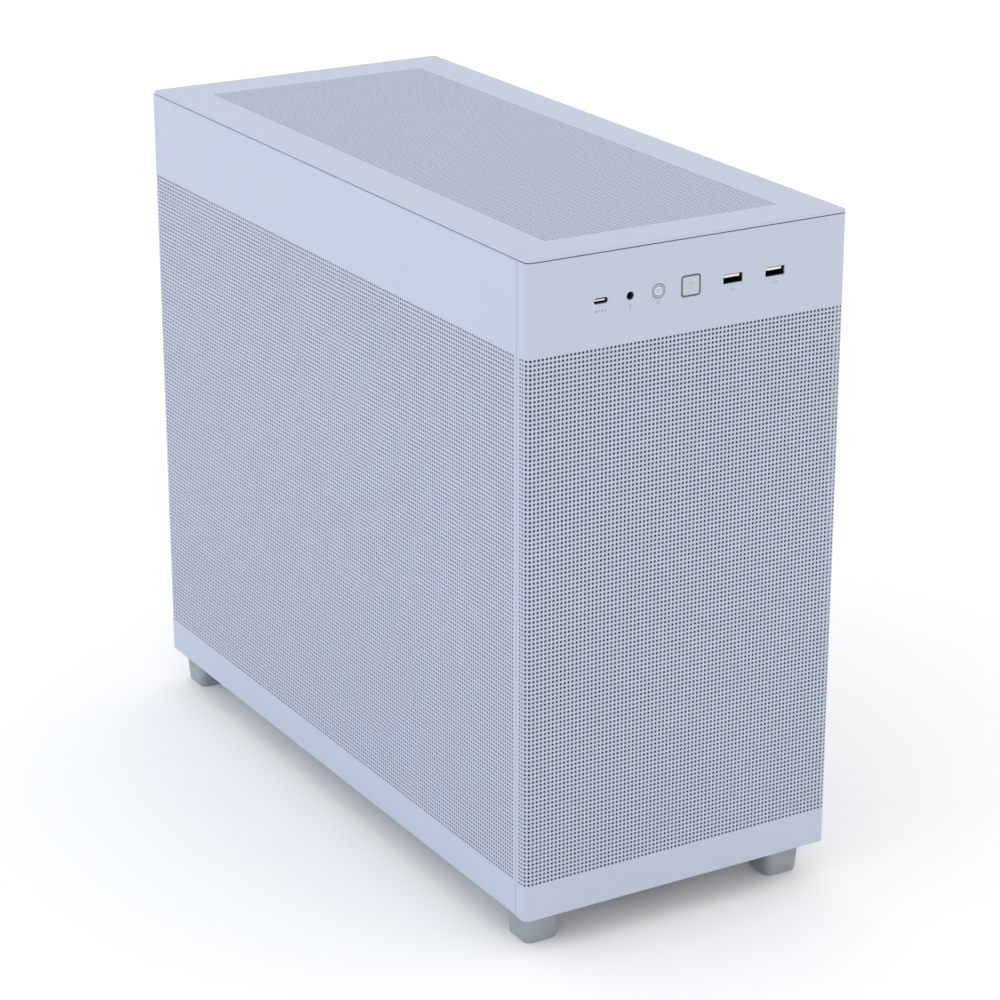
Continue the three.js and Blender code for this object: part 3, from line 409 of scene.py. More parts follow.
def fill_between(shape):
    """Closes the sheet between its outlines."""
    bmesh.ops.triangle_fill(shape, edges=shape.edges[:], use_beauty=True)
    return shape


def pull(shape, edges, reach):
    """Extrudes open edges and moves them; the new outer edges come back."""
    made = bmesh.ops.extrude_edge_only(shape, edges=edges)["geom"]
    moved = {g for g in made if isinstance(g, bmesh.types.BMVert)}
    bmesh.ops.translate(shape, verts=list(moved), vec=reach)
    return [g for g in made if isinstance(g, bmesh.types.BMEdge) and set(g.verts) <= moved]


def rim_edges(shape, chosen):
    """The open edges whose two ends both pass a test."""
    return [e for e in shape.edges if e.is_boundary and all(chosen(v.co) for v in e.verts)]


trial = bmesh.new()
outline(trial, 20, 10, radius=2)
round_outline(trial, 2, (3, 0))
fill_between(trial)
print("a trial blank has an area of", round(sum(f.calc_area() for f in trial.faces), 1))
trial.free()


# %% [markdown]
# ## Panel sizes
# The levels repeat the drawing of the solids: 0.6 mm seams between the panels, 8 mm flanges, and
# front corners of 3.5 mm radius. The holes stop 1 to 2 mm before the folds and leave a plain band
# along the top and the bottom.

# %% Panel sizes, in metres
SIDE = 102.5 * MM
FRONT = -230 * MM
BACK = 230 * MM
FLOOR = 22.4 * MM
TOP = 405 * MM
LIP = 1.6 * MM
PANEL_TOP = TOP - LIP - 0.6 * MM
SIDE_FRONT = -219.8 * MM
FLANGE = 8 * MM
FOLD = 0.8 * MM
FIELD_FLOOR = 43.6 * MM
FIELD_ROWS = 123
FIELD_TOP = FIELD_FLOOR + FIELD_ROWS * PITCH
print("holes run from", FIELD_FLOOR / MM, "to", round(FIELD_TOP / MM, 1), "mm above the table")


# %% [markdown]
# ## Front panel
# The front sheet is punched flat and then rolled round both upright edges, so the rows of holes
# carry on round the corners. The model does the same: the blank is cut at a few stations where it
# will bend, and each vertex is moved from its place on the blank to its place on the arc. The
# openings for the ports are part of the frame round the field. The field is made in two halves so
# that no mesh grows too large.

# %% The front sheet
CORNER = 3.5 * MM
BEND_START = SIDE - CORNER
BEND_RUN = CORNER * math.pi / 2
BEND_STEPS = 6
FRONT_RETURN = 6.1 * MM
FRONT_FLAT = BEND_START + BEND_RUN + FRONT_RETURN
FRONT_COLUMNS = 87
PORT_LEVEL = 376.7 * MM
USB_C_X, AUDIO_X, RESET_X, POWER_X = (x * MM for x in (-56.9, -38.5, -20.7, 0))
USB_A_X = (27.2 * MM, 54.8 * MM)


def wrap_round_corners(shape):
    """Bends the flat front blank, whose X is the way round and whose Y is the height."""
    for sign in (-1, 1):
        for step in range(BEND_STEPS + 1):
            station = sign * (BEND_START + BEND_RUN * step / BEND_STEPS)
            bmesh.ops.bisect_plane(
                shape,
                geom=shape.verts[:] + shape.edges[:] + shape.faces[:],
                plane_co=(station, 0, 0),
                plane_no=(1, 0, 0),
                dist=1e-7,
            )
    for v in shape.verts:
        along = abs(v.co.x) - BEND_START
        turn = min(max(along / CORNER, 0), math.pi / 2)
        x = min(abs(v.co.x), BEND_START) + CORNER * math.sin(turn)
        y = FRONT + CORNER * (1 - math.cos(turn)) + max(along - BEND_RUN, 0)
        v.co = (math.copysign(x, v.co.x), y, v.co.y)
    return shape


def front_frame():
    """The plain bands of the front sheet, with the openings for the ports."""
    blank = bmesh.new()
    outline(blank, 2 * FRONT_FLAT, PANEL_TOP - FLOOR, centre=(0, (PANEL_TOP + FLOOR) / 2))
    field_middle = (0, (FIELD_TOP + FIELD_FLOOR) / 2)
    outline(blank, FRONT_COLUMNS * PITCH, FIELD_TOP - FIELD_FLOOR, centre=field_middle)
    outline(blank, 9 * MM, 3.4 * MM, 1.65 * MM, (USB_C_X, PORT_LEVEL), steps=6)
    round_outline(blank, 2.35 * MM, (AUDIO_X, PORT_LEVEL))
    round_outline(blank, 4.25 * MM, (RESET_X, PORT_LEVEL), sides=36)
    outline(blank, 12.6 * MM, 12.2 * MM, 1.9 * MM, (POWER_X, PORT_LEVEL), steps=6)
    for x in USB_A_X:
        outline(blank, 12.7 * MM, 5.3 * MM, 0.4 * MM, (x, PORT_LEVEL), steps=2)
    wrap_round_corners(fill_between(blank))
    for level in (FLOOR, PANEL_TOP):
        edge = rim_edges(blank, lambda c: abs(c.z - level) < 1e-6 and abs(c.x) < BEND_START + 1e-6)
        pull(blank, edge, (0, FLANGE, 0))
    return face_towards(blank, (0, -1, 0))


def front_field(first_row, rows):
    """Some rows of the front's holes, bent round the corners."""
    field = punched_field(FRONT_COLUMNS, rows)
    start = (-FRONT_COLUMNS * PITCH / 2, FIELD_FLOOR + first_row * PITCH, 0)
    bmesh.ops.translate(field, verts=field.verts, vec=start)
    return face_towards(wrap_round_corners(field), (0, -1, 0))


give_thickness(make_piece("front_panel_bands", front_frame(), "front_panel", panel_paint, ["front_panel"]))
for number, (first, rows) in enumerate(((0, 62), (62, 61)), start=1):
    name = f"front_panel_holes_{number}"
    give_thickness(make_piece(name, front_field(first, rows), "front_panel", panel_paint, ["front_panel"]))
print("front panel:", FRONT_COLUMNS * FIELD_ROWS, "holes")


# %% [markdown]
# ## Dust filter behind the front
# A sheet of fine grey-blue nylon net is clipped to the inside of the front panel. It is what makes all
# the holes look equally dark, whatever stands behind them. It is a thin plate in a narrow frame,
# and its weave is far too fine to model, so its threads are two crossed waves in the material, and
# the openings between the threads are painted darker as painted shade.

# %% The front's net
FILTER_BACK = FRONT + 4.2 * MM
FILTER_RIM = 4 * MM


def woven_net(name, thread, gap_shade, threads_per_metre):
    """Fine netting: threads both ways, with the gaps between them painted darker as painted shade for the
    openings.
    """
    net = Finish(name, roughness=0.75, specular_ior_level=0.3)
    waves = [
        net.add(
            "TexWave",
            {"bands_direction": way},
            {"Vector": net.place, "Scale": threads_per_metre / 20, "Distortion": 0.0},
        )
        for way in ("X", "Z")
    ]
    weave = waves[0].math("MAXIMUM", waves[1])
    clouds = net.noise(30)
    # The darker gap colour is painted shade: it stands for the shade seen through the net's openings.
    net.feed("Base Color", net.mix(weave * 0.75 + clouds * 0.25, gap_shade, thread))
    return net.bump(weave, 0.3, 0.0002)


filter_net = woven_net("filter_net", (0.20, 0.235, 0.275), (0.10, 0.12, 0.145), 900)


def front_net():
    """A plate with a raised rim on the side that faces the panel."""
    net = bmesh.new()
    bmesh.ops.create_cube(net, size=1)
    width = 2 * (BEND_START - 2 * MM)
    height = FIELD_TOP - FIELD_FLOOR + 4 * MM
    bmesh.ops.scale(net, verts=net.verts, vec=(width, 0.8 * MM, height))
    bmesh.ops.translate(net, verts=net.verts, vec=(0, FILTER_BACK, (FIELD_TOP + FIELD_FLOOR) / 2))
    front = [f for f in net.faces if f.normal.y < -0.5]
    bmesh.ops.inset_region(net, faces=front, thickness=FILTER_RIM)
    rim = [f for f in net.faces if f.normal.y < -0.5 and f not in front]
    made = bmesh.ops.extrude_face_region(net, geom=rim)["geom"]
    moved = [g for g in made if isinstance(g, bmesh.types.BMVert)]
    bmesh.ops.translate(net, verts=moved, vec=(0, -1.2 * MM, 0))
    bmesh.ops.delete(net, geom=rim, context="FACES_ONLY")
    bmesh.ops.recalc_face_normals(net, faces=net.faces)
    return net


make_piece("front_dust_filter", front_net(), "front_panel", filter_net)
print("front net is", round(2 * (BEND_START / MM - 2)), "mm wide")


# %% [markdown]
# ## Side panels
# Each side panel is a shallow tray: a punched face with an 8 mm flange folded in on all four
# edges. The frame of the tray and four fields of holes make one panel, and the right panel is
# drawn with the same code on the other side.

# %% The side sheets
SIDE_COLUMNS = (45, 44, 44, 45)
SIDE_FIELD_START = (SIDE_FRONT + BACK - sum(SIDE_COLUMNS) * PITCH) / 2


def stand_up(shape, sign):
    """Turns a flat blank, drawn as length and height, into a side wall."""
    for v in shape.verts:
        v.co = (sign * SIDE, v.co.x, v.co.y)
    return shape


def side_tray(sign):
    """The plain bands and the flanges of a side panel."""
    blank = bmesh.new()
    middle = ((SIDE_FRONT + BACK) / 2, (FLOOR + PANEL_TOP) / 2)
    outline(blank, BACK - SIDE_FRONT, PANEL_TOP - FLOOR, centre=middle)
    field_middle = (middle[0], (FIELD_FLOOR + FIELD_TOP) / 2)
    outline(blank, sum(SIDE_COLUMNS) * PITCH, FIELD_TOP - FIELD_FLOOR, centre=field_middle)
    stand_up(fill_between(blank), sign)
    field_end = SIDE_FIELD_START + sum(SIDE_COLUMNS) * PITCH

    def outside(c):
        along = SIDE_FIELD_START - MM < c.y < field_end + MM
        return not (along and FIELD_FLOOR - MM < c.z < FIELD_TOP + MM)

    fold = rim_edges(blank, outside)
    pull(blank, fold, (-sign * FLANGE, 0, 0))
    face_towards(blank, (sign, 0, 0))
    soften(blank, fold, FOLD, 3)
    return blank


def side_field(sign, first_column, columns):
    """Some columns of a side panel's holes."""
    field = punched_field(columns, FIELD_ROWS)
    start = (SIDE_FIELD_START + first_column * PITCH, FIELD_FLOOR, 0)
    bmesh.ops.translate(field, verts=field.verts, vec=start)
    return face_towards(stand_up(field, sign), (sign, 0, 0))


for side, sign in (("left", -1), ("right", 1)):
    body = f"{side}_panel"
    give_thickness(make_piece(f"{body}_tray", side_tray(sign), body, panel_paint, [body]))
    done = 0
    for number, columns in enumerate(SIDE_COLUMNS, start=1):
        field = side_field(sign, done, columns)
        give_thickness(make_piece(f"{body}_holes_{number}", field, body, panel_paint, [body]))
        done += columns
print("each side panel:", sum(SIDE_COLUMNS) * FIELD_ROWS, "holes")


# %% [markdown]
# ## Top panel
# The top sheet is a rounded rectangle with a short lip folded down all round, which covers the
# upper ends of the other three panels. Its holes fill a rectangle in the middle, over the fans.

# %% The top sheet
TOP_COLUMNS = 60
TOP_ROWS = (80, 81)
TOP_FIELD_START = -202.25 * MM


def top_tray():
    """The plain border and the lip of the top panel."""
    blank = bmesh.new()
    outline(blank, 2 * SIDE, BACK - FRONT, CORNER, steps=6)
    length = sum(TOP_ROWS) * PITCH
    fold = blank.edges[:]
    outline(blank, TOP_COLUMNS * PITCH, length, centre=(0, TOP_FIELD_START + length / 2))
    bmesh.ops.translate(blank, verts=blank.verts, vec=(0, 0, TOP))
    fill_between(blank)
    pull(blank, fold, (0, 0, -LIP))
    face_towards(blank, (0, 0, 1))
    soften(blank, fold, FOLD, 3)
    return blank


def top_field(first_row, rows):
    """Some rows of the top panel's holes."""
    field = punched_field(TOP_COLUMNS, rows)
    start = (-TOP_COLUMNS * PITCH / 2, TOP_FIELD_START + first_row * PITCH, TOP)
    bmesh.ops.translate(field, verts=field.verts, vec=start)
    return face_towards(field, (0, 0, 1))


give_thickness(make_piece("top_panel_tray", top_tray(), "top_panel", panel_paint, ["top_panel"]))
for number, (first, rows) in enumerate(((0, TOP_ROWS[0]), TOP_ROWS), start=1):
    name = f"top_panel_holes_{number}"
    give_thickness(make_piece(name, top_field(first, rows), "top_panel", panel_paint, ["top_panel"]))
print("top panel:", TOP_COLUMNS * sum(TOP_ROWS), "holes")


# %% [markdown]
# ## Finishes of the other parts
# Bare steel is rolled, so its brightness runs in streaks along one way. Moulded plastic has a
# faint grain and no colour of its own beyond black or grey. A circuit board is a glossy lacquer
# over copper, with dark traces. Cables have a braided sleeve, and the feet are smoky clear
# rubber, which lets some light through.

# %% Metals, plastics, board, sleeve and foot
def streaked_metal(name, light, dark, roughness, streak=(40, 4, 700)):
    """Rolled or brushed metal, with streaks along one axis."""
    metal = Finish(name, metallic=1.0)
    streaks = metal.noise(1, detail=2, place=metal.stretched(*streak))
    clouds = metal.noise(18)
    metal.feed("Base Color", metal.mix(streaks * 0.6 + clouds * 0.4, dark, light))
    metal.feed("Roughness", roughness + (streaks - 0.5) * 0.25)
    return metal.bump(streaks, 0.08, 0.0002)


def moulded_plastic(name, light, dark, roughness, grain=1400):
    """Spark-eroded plastic: a fine even grain and a little dust."""
    plastic = Finish(name, ior=1.47)
    fine = plastic.noise(grain, detail=2)
    dust = plastic.noise(35)
    plastic.feed("Base Color", plastic.mix(fine * 0.4 + dust * 0.6, dark, light))
    plastic.feed("Roughness", roughness + (fine - 0.5) * 0.2)
    return plastic.bump(fine, 0.12, 0.0002)


def lacquered_board(name):
    """Dark lacquer over copper traces, which run in steps round the parts."""
    board = Finish(name, coat_weight=0.4, coat_roughness=0.2)
    cells = board.add("TexVoronoi", {"distance": "CHEBYCHEV"}, {"Vector": board.place, "Scale": 260})
    traces = cells.math("GREATER_THAN", 0.52)
    fine = board.noise(500)
    shade = traces * 0.7 + fine * 0.3
    board.feed("Base Color", board.mix(shade, (0.012, 0.014, 0.017), (0.045, 0.052, 0.058)))
    board.feed("Roughness", 0.42 + (fine - 0.5) * 0.2)
    return board.bump(traces, 0.15, 0.0001)


def braided_sleeve(name):
    """Black sleeve woven over a lead, as two crossed slanting waves."""
    sleeve = Finish(name, roughness=0.65)
    waves = [
        sleeve.add(
            "TexWave",
            {"bands_direction": "DIAGONAL"},
            {"Vector": sleeve.stretched(*way), "Scale": 170, "Distortion": 0.4},
        )
        for way in ((1, 1, 1), (-1, 1, 1))
    ]
    braid = waves[0].math("MAXIMUM", waves[1])
    sleeve.feed("Base Color", sleeve.mix(braid, (0.006, 0.006, 0.007), (0.03, 0.031, 0.034)))
    return sleeve.bump(braid, 0.4, 0.0004)


def smoky_rubber(name):
    """Clear grey rubber, hazier in places, with a smooth moulded skin."""
    rubber = Finish(name, transmission_weight=0.25, ior=1.42, coat_weight=0.35, coat_roughness=0.1)
    haze = rubber.noise(1, detail=2, place=rubber.stretched(90, 90, 25))
    grain = rubber.noise(1800, detail=1)
    rubber.feed("Base Color", rubber.mix(haze, (0.31, 0.345, 0.395), (0.42, 0.46, 0.52)))
    rubber.feed("Roughness", 0.34 + (haze - 0.5) * 0.12)
    return rubber.bump(grain, 0.05, 0.0002)


foot_rubber = smoky_rubber("foot_rubber")
port_shell = streaked_metal("port_shell", (0.62, 0.63, 0.65), (0.42, 0.43, 0.45), 0.28)
bare_steel = streaked_metal("bare_steel", (0.58, 0.60, 0.62), (0.42, 0.43, 0.45), 0.32)
bare_aluminium = streaked_metal("bare_aluminium", (0.74, 0.75, 0.77), (0.60, 0.61, 0.63), 0.3, (6, 6, 500))
supply_steel = powder_coat("supply_steel", (0.030, 0.031, 0.034), (0.020, 0.021, 0.023), 0.45)
black_plastic = moulded_plastic("black_plastic", (0.018, 0.018, 0.020), (0.011, 0.011, 0.012), 0.45)
fan_plastic = moulded_plastic("fan_plastic", (0.032, 0.034, 0.038), (0.022, 0.024, 0.027), 0.42)
bezel_grey = moulded_plastic("bezel_grey", (0.135, 0.150, 0.175), (0.105, 0.118, 0.140), 0.4)
button_cap = moulded_plastic("button_cap", (0.465, 0.505, 0.585), (0.430, 0.470, 0.548), 0.42)
reset_cap = moulded_plastic("reset_cap", (0.66, 0.69, 0.74), (0.60, 0.63, 0.68), 0.4)
reset_ring = moulded_plastic("reset_ring", (0.36, 0.39, 0.45), (0.31, 0.34, 0.40), 0.42)
dark_nickel = streaked_metal("dark_nickel", (0.12, 0.125, 0.135), (0.07, 0.073, 0.08), 0.35)
white_plastic = moulded_plastic("white_plastic", (0.86, 0.86, 0.84), (0.78, 0.78, 0.76), 0.4)
heat_spreader = moulded_plastic("heat_spreader", (0.075, 0.080, 0.088), (0.050, 0.054, 0.060), 0.35)
circuit_board = lacquered_board("circuit_board")
cable_sleeve = braided_sleeve("cable_sleeve")

SLOT_FINISHES = {
    "chassis_paint": chassis_paint, "panel_paint": panel_paint, "foot": foot_rubber,
    "filter": filter_net, "port_shell": port_shell, "black_plastic": black_plastic,
    "bezel": bezel_grey, "button_cap": button_cap, "circuit_board": circuit_board,
    "heat_spreader": heat_spreader, "bare_aluminium": bare_aluminium, "bare_steel": bare_steel,
    "supply_steel": supply_steel, "fan_plastic": fan_plastic, "cable": cable_sleeve,
}
print(len(SLOT_FINISHES), "finishes")


# %% [markdown]
# ## CAD parts that stay
# A part whose solid already has the right shape keeps it, and only takes the finish that the
# record names for it.

# %% Finish the CAD nodes
for row in frame["record"]["subparts"]:
    node = frame["nodes"][row["node"]]
    node.data.materials.clear()
    node.data.materials.append(SLOT_FINISHES[row["material_slot"]].material)
SPECIAL_FINISHES = {
    "reset_bezel": reset_ring, "reset_button": reset_cap,
    "usb_c_port": dark_nickel, "usb_a_port_1": dark_nickel, "usb_a_port_2": dark_nickel,
}
for name, finish in SPECIAL_FINISHES.items():
    frame["nodes"][name].data.materials[0] = finish.material


# %% [markdown]
# ## Feet
# Each foot is a block of smoky rubber, a little wider at the top, with rounded upright corners and
# a soft lower edge. It is a cube that is tapered and then bevelled twice: the upright edges with a
# large radius, and the bottom rim with a small one.

# %% Four feet
FOOT_TOP = 24.4 * MM
FOOT_BOTTOM = 21.6 * MM
FOOT_ROUND = 4.5 * MM
FOOT_RIM = 1.6 * MM


def foot(low, high):
    """A tapered rounded block between two corners."""
    block = bmesh.new()
    bmesh.ops.create_cube(block, size=1)
    middle = (low + high) / 2
    bmesh.ops.scale(block, verts=block.verts, vec=(FOOT_TOP, FOOT_TOP, high.z - low.z))
    bottom = [v for v in block.verts if v.co.z < 0]
    bmesh.ops.scale(block, verts=bottom, vec=(FOOT_BOTTOM / FOOT_TOP, FOOT_BOTTOM / FOOT_TOP, 1))
    upright = [e for e in block.edges if abs(e.verts[0].co.z - e.verts[1].co.z) > MM]
    soften(block, upright, FOOT_ROUND, 8)
    rim = [e for e in block.edges if all(v.co.z < -MM for v in e.verts)]
    soften(block, rim, FOOT_RIM, 4)
    bmesh.ops.translate(block, verts=block.verts, vec=middle)
    for face in block.faces:
        face.smooth = True
    return block


for place in ("front_left", "front_right", "rear_left", "rear_right"):
    low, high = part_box(f"foot_{place}")
    name = f"rubber_foot_{place}"
    make_piece(name, foot(low, high), "chassis", foot_rubber, [f"foot_{place}"])
print("feet are", round((high.z - low.z) / MM, 1), "mm tall")


# %% [markdown]
# ## Small solids
# Most parts inside are built from a few simple solids: a block with broken edges, a row of equal
# blocks, a round bar, a ring spun from its section, and a tube along a path. Each helper but the
# tube adds to a bmesh that is already in the making, so that one piece can hold many of them.

# %% Blocks, bars, rings and tubes
def add_block(shape, low, high, edge=0.0):
    """A box between two corners, in millimetres, with its edges broken."""
    made = bmesh.ops.create_cube(shape, size=1)["verts"]
    low, high = Vector(low) * MM, Vector(high) * MM
    bmesh.ops.scale(shape, verts=made, vec=high - low)
    bmesh.ops.translate(shape, verts=made, vec=(low + high) / 2)
    if edge:
        edges = list({e for v in made for e in v.link_edges})
        soften(shape, edges, edge * MM, 2)


def add_row(shape, count, low, high, step, edge=0.0):
    """Equal boxes in a row, each a step further on than the last, in millimetres."""
    for number in range(count):
        shift = Vector(step) * number
        add_block(shape, Vector(low) + shift, Vector(high) + shift, edge)


def add_bar(shape, radius, start, end, edge=0.0, sides=24, end_radius=None):
    """A round bar between two points, in millimetres."""
    start, end = Vector(start) * MM, Vector(end) * MM
    along = end - start
    made = bmesh.ops.create_cone(
        shape, cap_ends=True, segments=sides, radius1=radius * MM,
        radius2=(radius if end_radius is None else end_radius) * MM, depth=along.length,
    )["verts"]
    if edge:
        edges = {e for v in made for e in v.link_edges}
        rims = [e for e in edges if abs(e.verts[0].co.z - e.verts[1].co.z) < 1e-7]
        rounded = {v for f in soften(shape, rims, edge * MM, 2) for v in f.verts}
        made = list(rounded | {v for v in made if v.is_valid})
    turn = Vector((0, 0, 1)).rotation_difference(along).to_matrix().to_4x4()
    bmesh.ops.transform(shape, matrix=Matrix.Translation((start + end) / 2) @ turn, verts=made)


def tube_mesh(points, radius, sides=8, steps=6):
    """A round tube along a smooth path through points in millimetres, as a mesh."""
    path = bpy.data.curves.new("path", "CURVE")
    path.dimensions = "3D"
    path.bevel_depth = radius * MM
    path.bevel_resolution = max(sides // 4 - 1, 0)
    path.use_fill_caps = True
    spline = path.splines.new("BEZIER")
    spline.resolution_u = steps
    spline.bezier_points.add(len(points) - 1)
    for knot, point in zip(spline.bezier_points, points):
        knot.co = Vector(point) * MM
        knot.handle_left_type = knot.handle_right_type = "AUTO"
    maker = bpy.data.objects.new("path", path)
    mesh = bpy.data.meshes.new_from_object(maker)
    bpy.data.objects.remove(maker)
    bpy.data.curves.remove(path)
    return mesh


def stand_along_y(shape, y, verts=None):
    """Turns a drawing in X and Y into one in X and Z, at a depth in metres."""
    for v in verts or shape.verts:
        v.co = (v.co.x, y, v.co.y)
    return shape


def spin_ring(shape, section, steps):
    """Turns the corners of a closed outline once round the Y axis."""
    edges = list({e for v in section for e in v.link_edges})
    turn = {"axis": (0, 1, 0), "cent": (0, 0, 0), "angle": 2 * math.pi}
    bmesh.ops.spin(shape, geom=section + edges, steps=steps, use_merge=True, **turn)
    bmesh.ops.recalc_face_normals(shape, faces=shape.faces)


print("small solids are ready")


# %% [markdown]
# ## Fans
# A 120 mm fan is a square frame with a short round duct, a motor held on four thin arms, and a
# rotor with swept blades. Each blade starts as a flat grid whose points are moved to a radius, an
# angle and a depth, which gives it its sweep, pitch and camber, and it is then thickened.

# %% Rotor and frame
BLADES = 9
FAN_SIDE = 119.6
SCREW_STEP = 52.5
SCREW_CORNERS = [(dx, dz) for dx in (-SCREW_STEP, SCREW_STEP) for dz in (-SCREW_STEP, SCREW_STEP)]
BLADE_SWEEP = 0.38
BLADE_CHORD = 0.66
CAMBER = 2.0 * MM


def fan_rotor(x, z, depth, radius, hub=20.0):
    """A hub with swept blades that blows along Y, all in millimetres."""
    rotor = bmesh.new()
    front, back = depth[0] * MM, depth[1] * MM
    for number in range(BLADES):
        made = bmesh.ops.create_grid(rotor, x_segments=7, y_segments=5, size=0.5)["verts"]
        for v in made:
            out, across = v.co.x + 0.5, v.co.y + 0.5
            reach = (hub - 1 + (radius - hub + 1) * out) * MM
            angle = 2 * math.pi * number / BLADES + BLADE_SWEEP * out ** 2
            angle += BLADE_CHORD * (1 - 0.25 * out) * across
            y = front + (back - front) * (0.08 + 0.80 * across) + CAMBER * math.sin(math.pi * across)
            v.co = (reach * math.cos(angle), y, reach * math.sin(angle))
    bmesh.ops.recalc_face_normals(rotor, faces=rotor.faces)
    bmesh.ops.solidify(rotor, geom=rotor.faces[:], thickness=1.3 * MM)
    for face in rotor.faces:
        face.smooth = True
    bmesh.ops.translate(rotor, verts=rotor.verts, vec=(x * MM, 0, z * MM))
    add_bar(rotor, hub, (x, depth[0] + 0.2, z), (x, depth[1] - 0.5, z), edge=1.5, sides=40)
    return rotor


def fan_plate(shape, x, z, y0, y1, opening):
    """One square flange of a fan frame, with its round opening and four screw holes."""
    plate = bmesh.new()
    outline(plate, FAN_SIDE * MM, FAN_SIDE * MM, 6 * MM, (x * MM, z * MM))
    round_outline(plate, opening * MM, (x * MM, z * MM), sides=48)
    for dx, dz in SCREW_CORNERS:
        round_outline(plate, 2.2 * MM, ((x + dx) * MM, (z + dz) * MM), sides=12)
    stand_along_y(fill_between(plate), y0 * MM)
    face_towards(plate, (0, -1, 0))
    bmesh.ops.solidify(plate, geom=plate.faces[:], thickness=(y1 - y0) * MM)
    held = bpy.data.meshes.new("plate")
    plate.to_mesh(held)
    plate.free()
    shape.from_mesh(held)
    bpy.data.meshes.remove(held)


def fan_frame(x, z, depth, opening=57.5):
    """Two flanges, the duct between them, and the motor plate on four arms at the back."""
    body = bmesh.new()
    wall = bmesh.ops.create_grid(body, x_segments=1, y_segments=1, size=0.5)["verts"]
    for v in wall:
        reach = opening + 1.8 * (v.co.x + 0.5)
        v.co = (reach * MM, (sum(depth) / 2 + v.co.y * (depth[1] - depth[0] - 7)) * MM, 0)
    bmesh.ops.delete(body, geom=body.faces[:], context="FACES_ONLY")
    spin_ring(body, wall, steps=48)
    bmesh.ops.translate(body, verts=body.verts, vec=(x * MM, 0, z * MM))
    for face in body.faces:
        face.smooth = abs(face.normal.y) < 0.5
    add_bar(body, 20.5, (x, depth[1] - 3.8, z), (x, depth[1] - 0.2, z), edge=0.8, sides=32)
    for quarter in range(4):
        angle = math.radians(30 + 90 * quarter)
        ends = [
            (x + r * math.cos(angle + lean), depth[1] - 2.4, z + r * math.sin(angle + lean))
            for r, lean in ((18, -0.5), (opening + 1, 0))
        ]
        add_bar(body, 2.0, *ends, sides=8)
    fan_plate(body, x, z, depth[0], depth[0] + 4, opening)
    fan_plate(body, x, z, depth[1] - 4, depth[1], opening)
    return body


Fan = namedtuple("Fan", "name x z depth rotor_depth radius")
FANS = (
    Fan("rear_fan", -31.5, 315, (203.7, 228.7), (205.7, 223.7), 56),
    Fan("cpu_fan", -17, 305, (84.7, 109.7), (86.7, 104.7), 56),
    Fan("supply_fan", 0, 250, None, (-203, -183), 57),
)
for fan in FANS:
    rotor = fan_rotor(fan.x, fan.z, fan.rotor_depth, fan.radius)
    make_piece(f"{fan.name}_blades", rotor, f"{fan.name}_rotor", fan_plastic, [f"{fan.name}_rotor"])
    if fan.depth:
        frame_body = fan_frame(fan.x, fan.z, fan.depth)
        make_piece(f"{fan.name}_body", frame_body, "chassis", fan_plastic, [f"{fan.name}_frame"])
print("fans with", BLADES, "blades:", [fan.name for fan in FANS])


# %% [markdown]
# ## Port marks and the power button
# Small grey marks are pad-printed under the ports. Here they are plain bars and rings, each a
# paper-thin solid on the paint. The power button carries a faint ring with a bar, and the reset
# button is a pale ring round a disc of the panel's colour.

# %% Printed marks
BODIES = frame["record"]["behaviour"]["bodies"]
BODY_OF = {node: body for body, nodes in BODIES.items() for node in nodes}
MARK_THICK = 0.06 * MM
MARK_DROP = 7.1 * MM
mark_ink = moulded_plastic("mark_ink", (0.33, 0.36, 0.41), (0.28, 0.31, 0.36), 0.5)


def add_mark_ring(shape, x, z, radius, line):
    """A thin printed ring."""
    rings = []
    for reach in (radius, radius - line):
        made = bmesh.ops.create_circle(shape, segments=24, radius=reach)["verts"]
        for v in made:
            v.co = (v.co.x + x, FRONT, v.co.y + z)
        rings += list({e for v in made for e in v.link_edges})
    faces = bmesh.ops.bridge_loops(shape, edges=rings)["faces"]
    raise_mark(shape, faces)


def add_mark_bar(shape, x, z, width, height):
    """A thin printed bar."""
    made = bmesh.ops.create_grid(shape, x_segments=1, y_segments=1, size=0.5)["verts"]
    for v in made:
        v.co = (x + v.co.x * width, FRONT, z + v.co.y * height)
    raise_mark(shape, list({f for v in made for f in v.link_faces}))


def raise_mark(shape, faces):
    """Gives a printed shape the thickness of its ink."""
    bmesh.ops.recalc_face_normals(shape, faces=faces)
    for face in faces:
        if face.normal.y > 0:
            face.normal_flip()
    made = bmesh.ops.solidify(shape, geom=faces, thickness=MARK_THICK)["geom"]
    verts = {v for f in faces for v in f.verts} | {g for g in made if isinstance(g, bmesh.types.BMVert)}
    depth = min(v.co.y for v in verts)
    bmesh.ops.translate(shape, verts=list(verts), vec=(0, FRONT - MARK_THICK - depth + 0.01 * MM, 0))


marks = bmesh.new()
mark_level = PORT_LEVEL - MARK_DROP
for k, width in enumerate((1.4, 0.7, 1.4, 0.7)):
    x = USB_C_X + (k - 1.5) * 2.0 * MM
    add_mark_bar(marks, x, mark_level + 1.5 * MM, width * MM, 1.1 * MM)
add_mark_ring(marks, AUDIO_X, mark_level + 1.4 * MM, 0.9 * MM, 0.35 * MM)
add_mark_bar(marks, AUDIO_X, mark_level - 0.3 * MM, 0.4 * MM, 1.5 * MM)
add_mark_ring(marks, RESET_X, mark_level + 1 * MM, 1.15 * MM, 0.4 * MM)
for x in USB_A_X:
    for k in (-1, 1):
        add_mark_bar(marks, x + k * 0.9 * MM, mark_level + 1 * MM, 0.8 * MM, 1.5 * MM)
make_piece("port_marks", marks, "front_panel", mark_ink)

power_mark = bmesh.new()
add_mark_ring(power_mark, POWER_X, PORT_LEVEL, 1.7 * MM, 0.4 * MM)
add_mark_bar(power_mark, POWER_X, PORT_LEVEL + 1.5 * MM, 0.45 * MM, 1.5 * MM)
mark_faint = moulded_plastic("mark_faint", (0.44, 0.47, 0.52), (0.40, 0.43, 0.48), 0.4)
make_piece("power_mark", power_mark, "power_button", mark_faint)

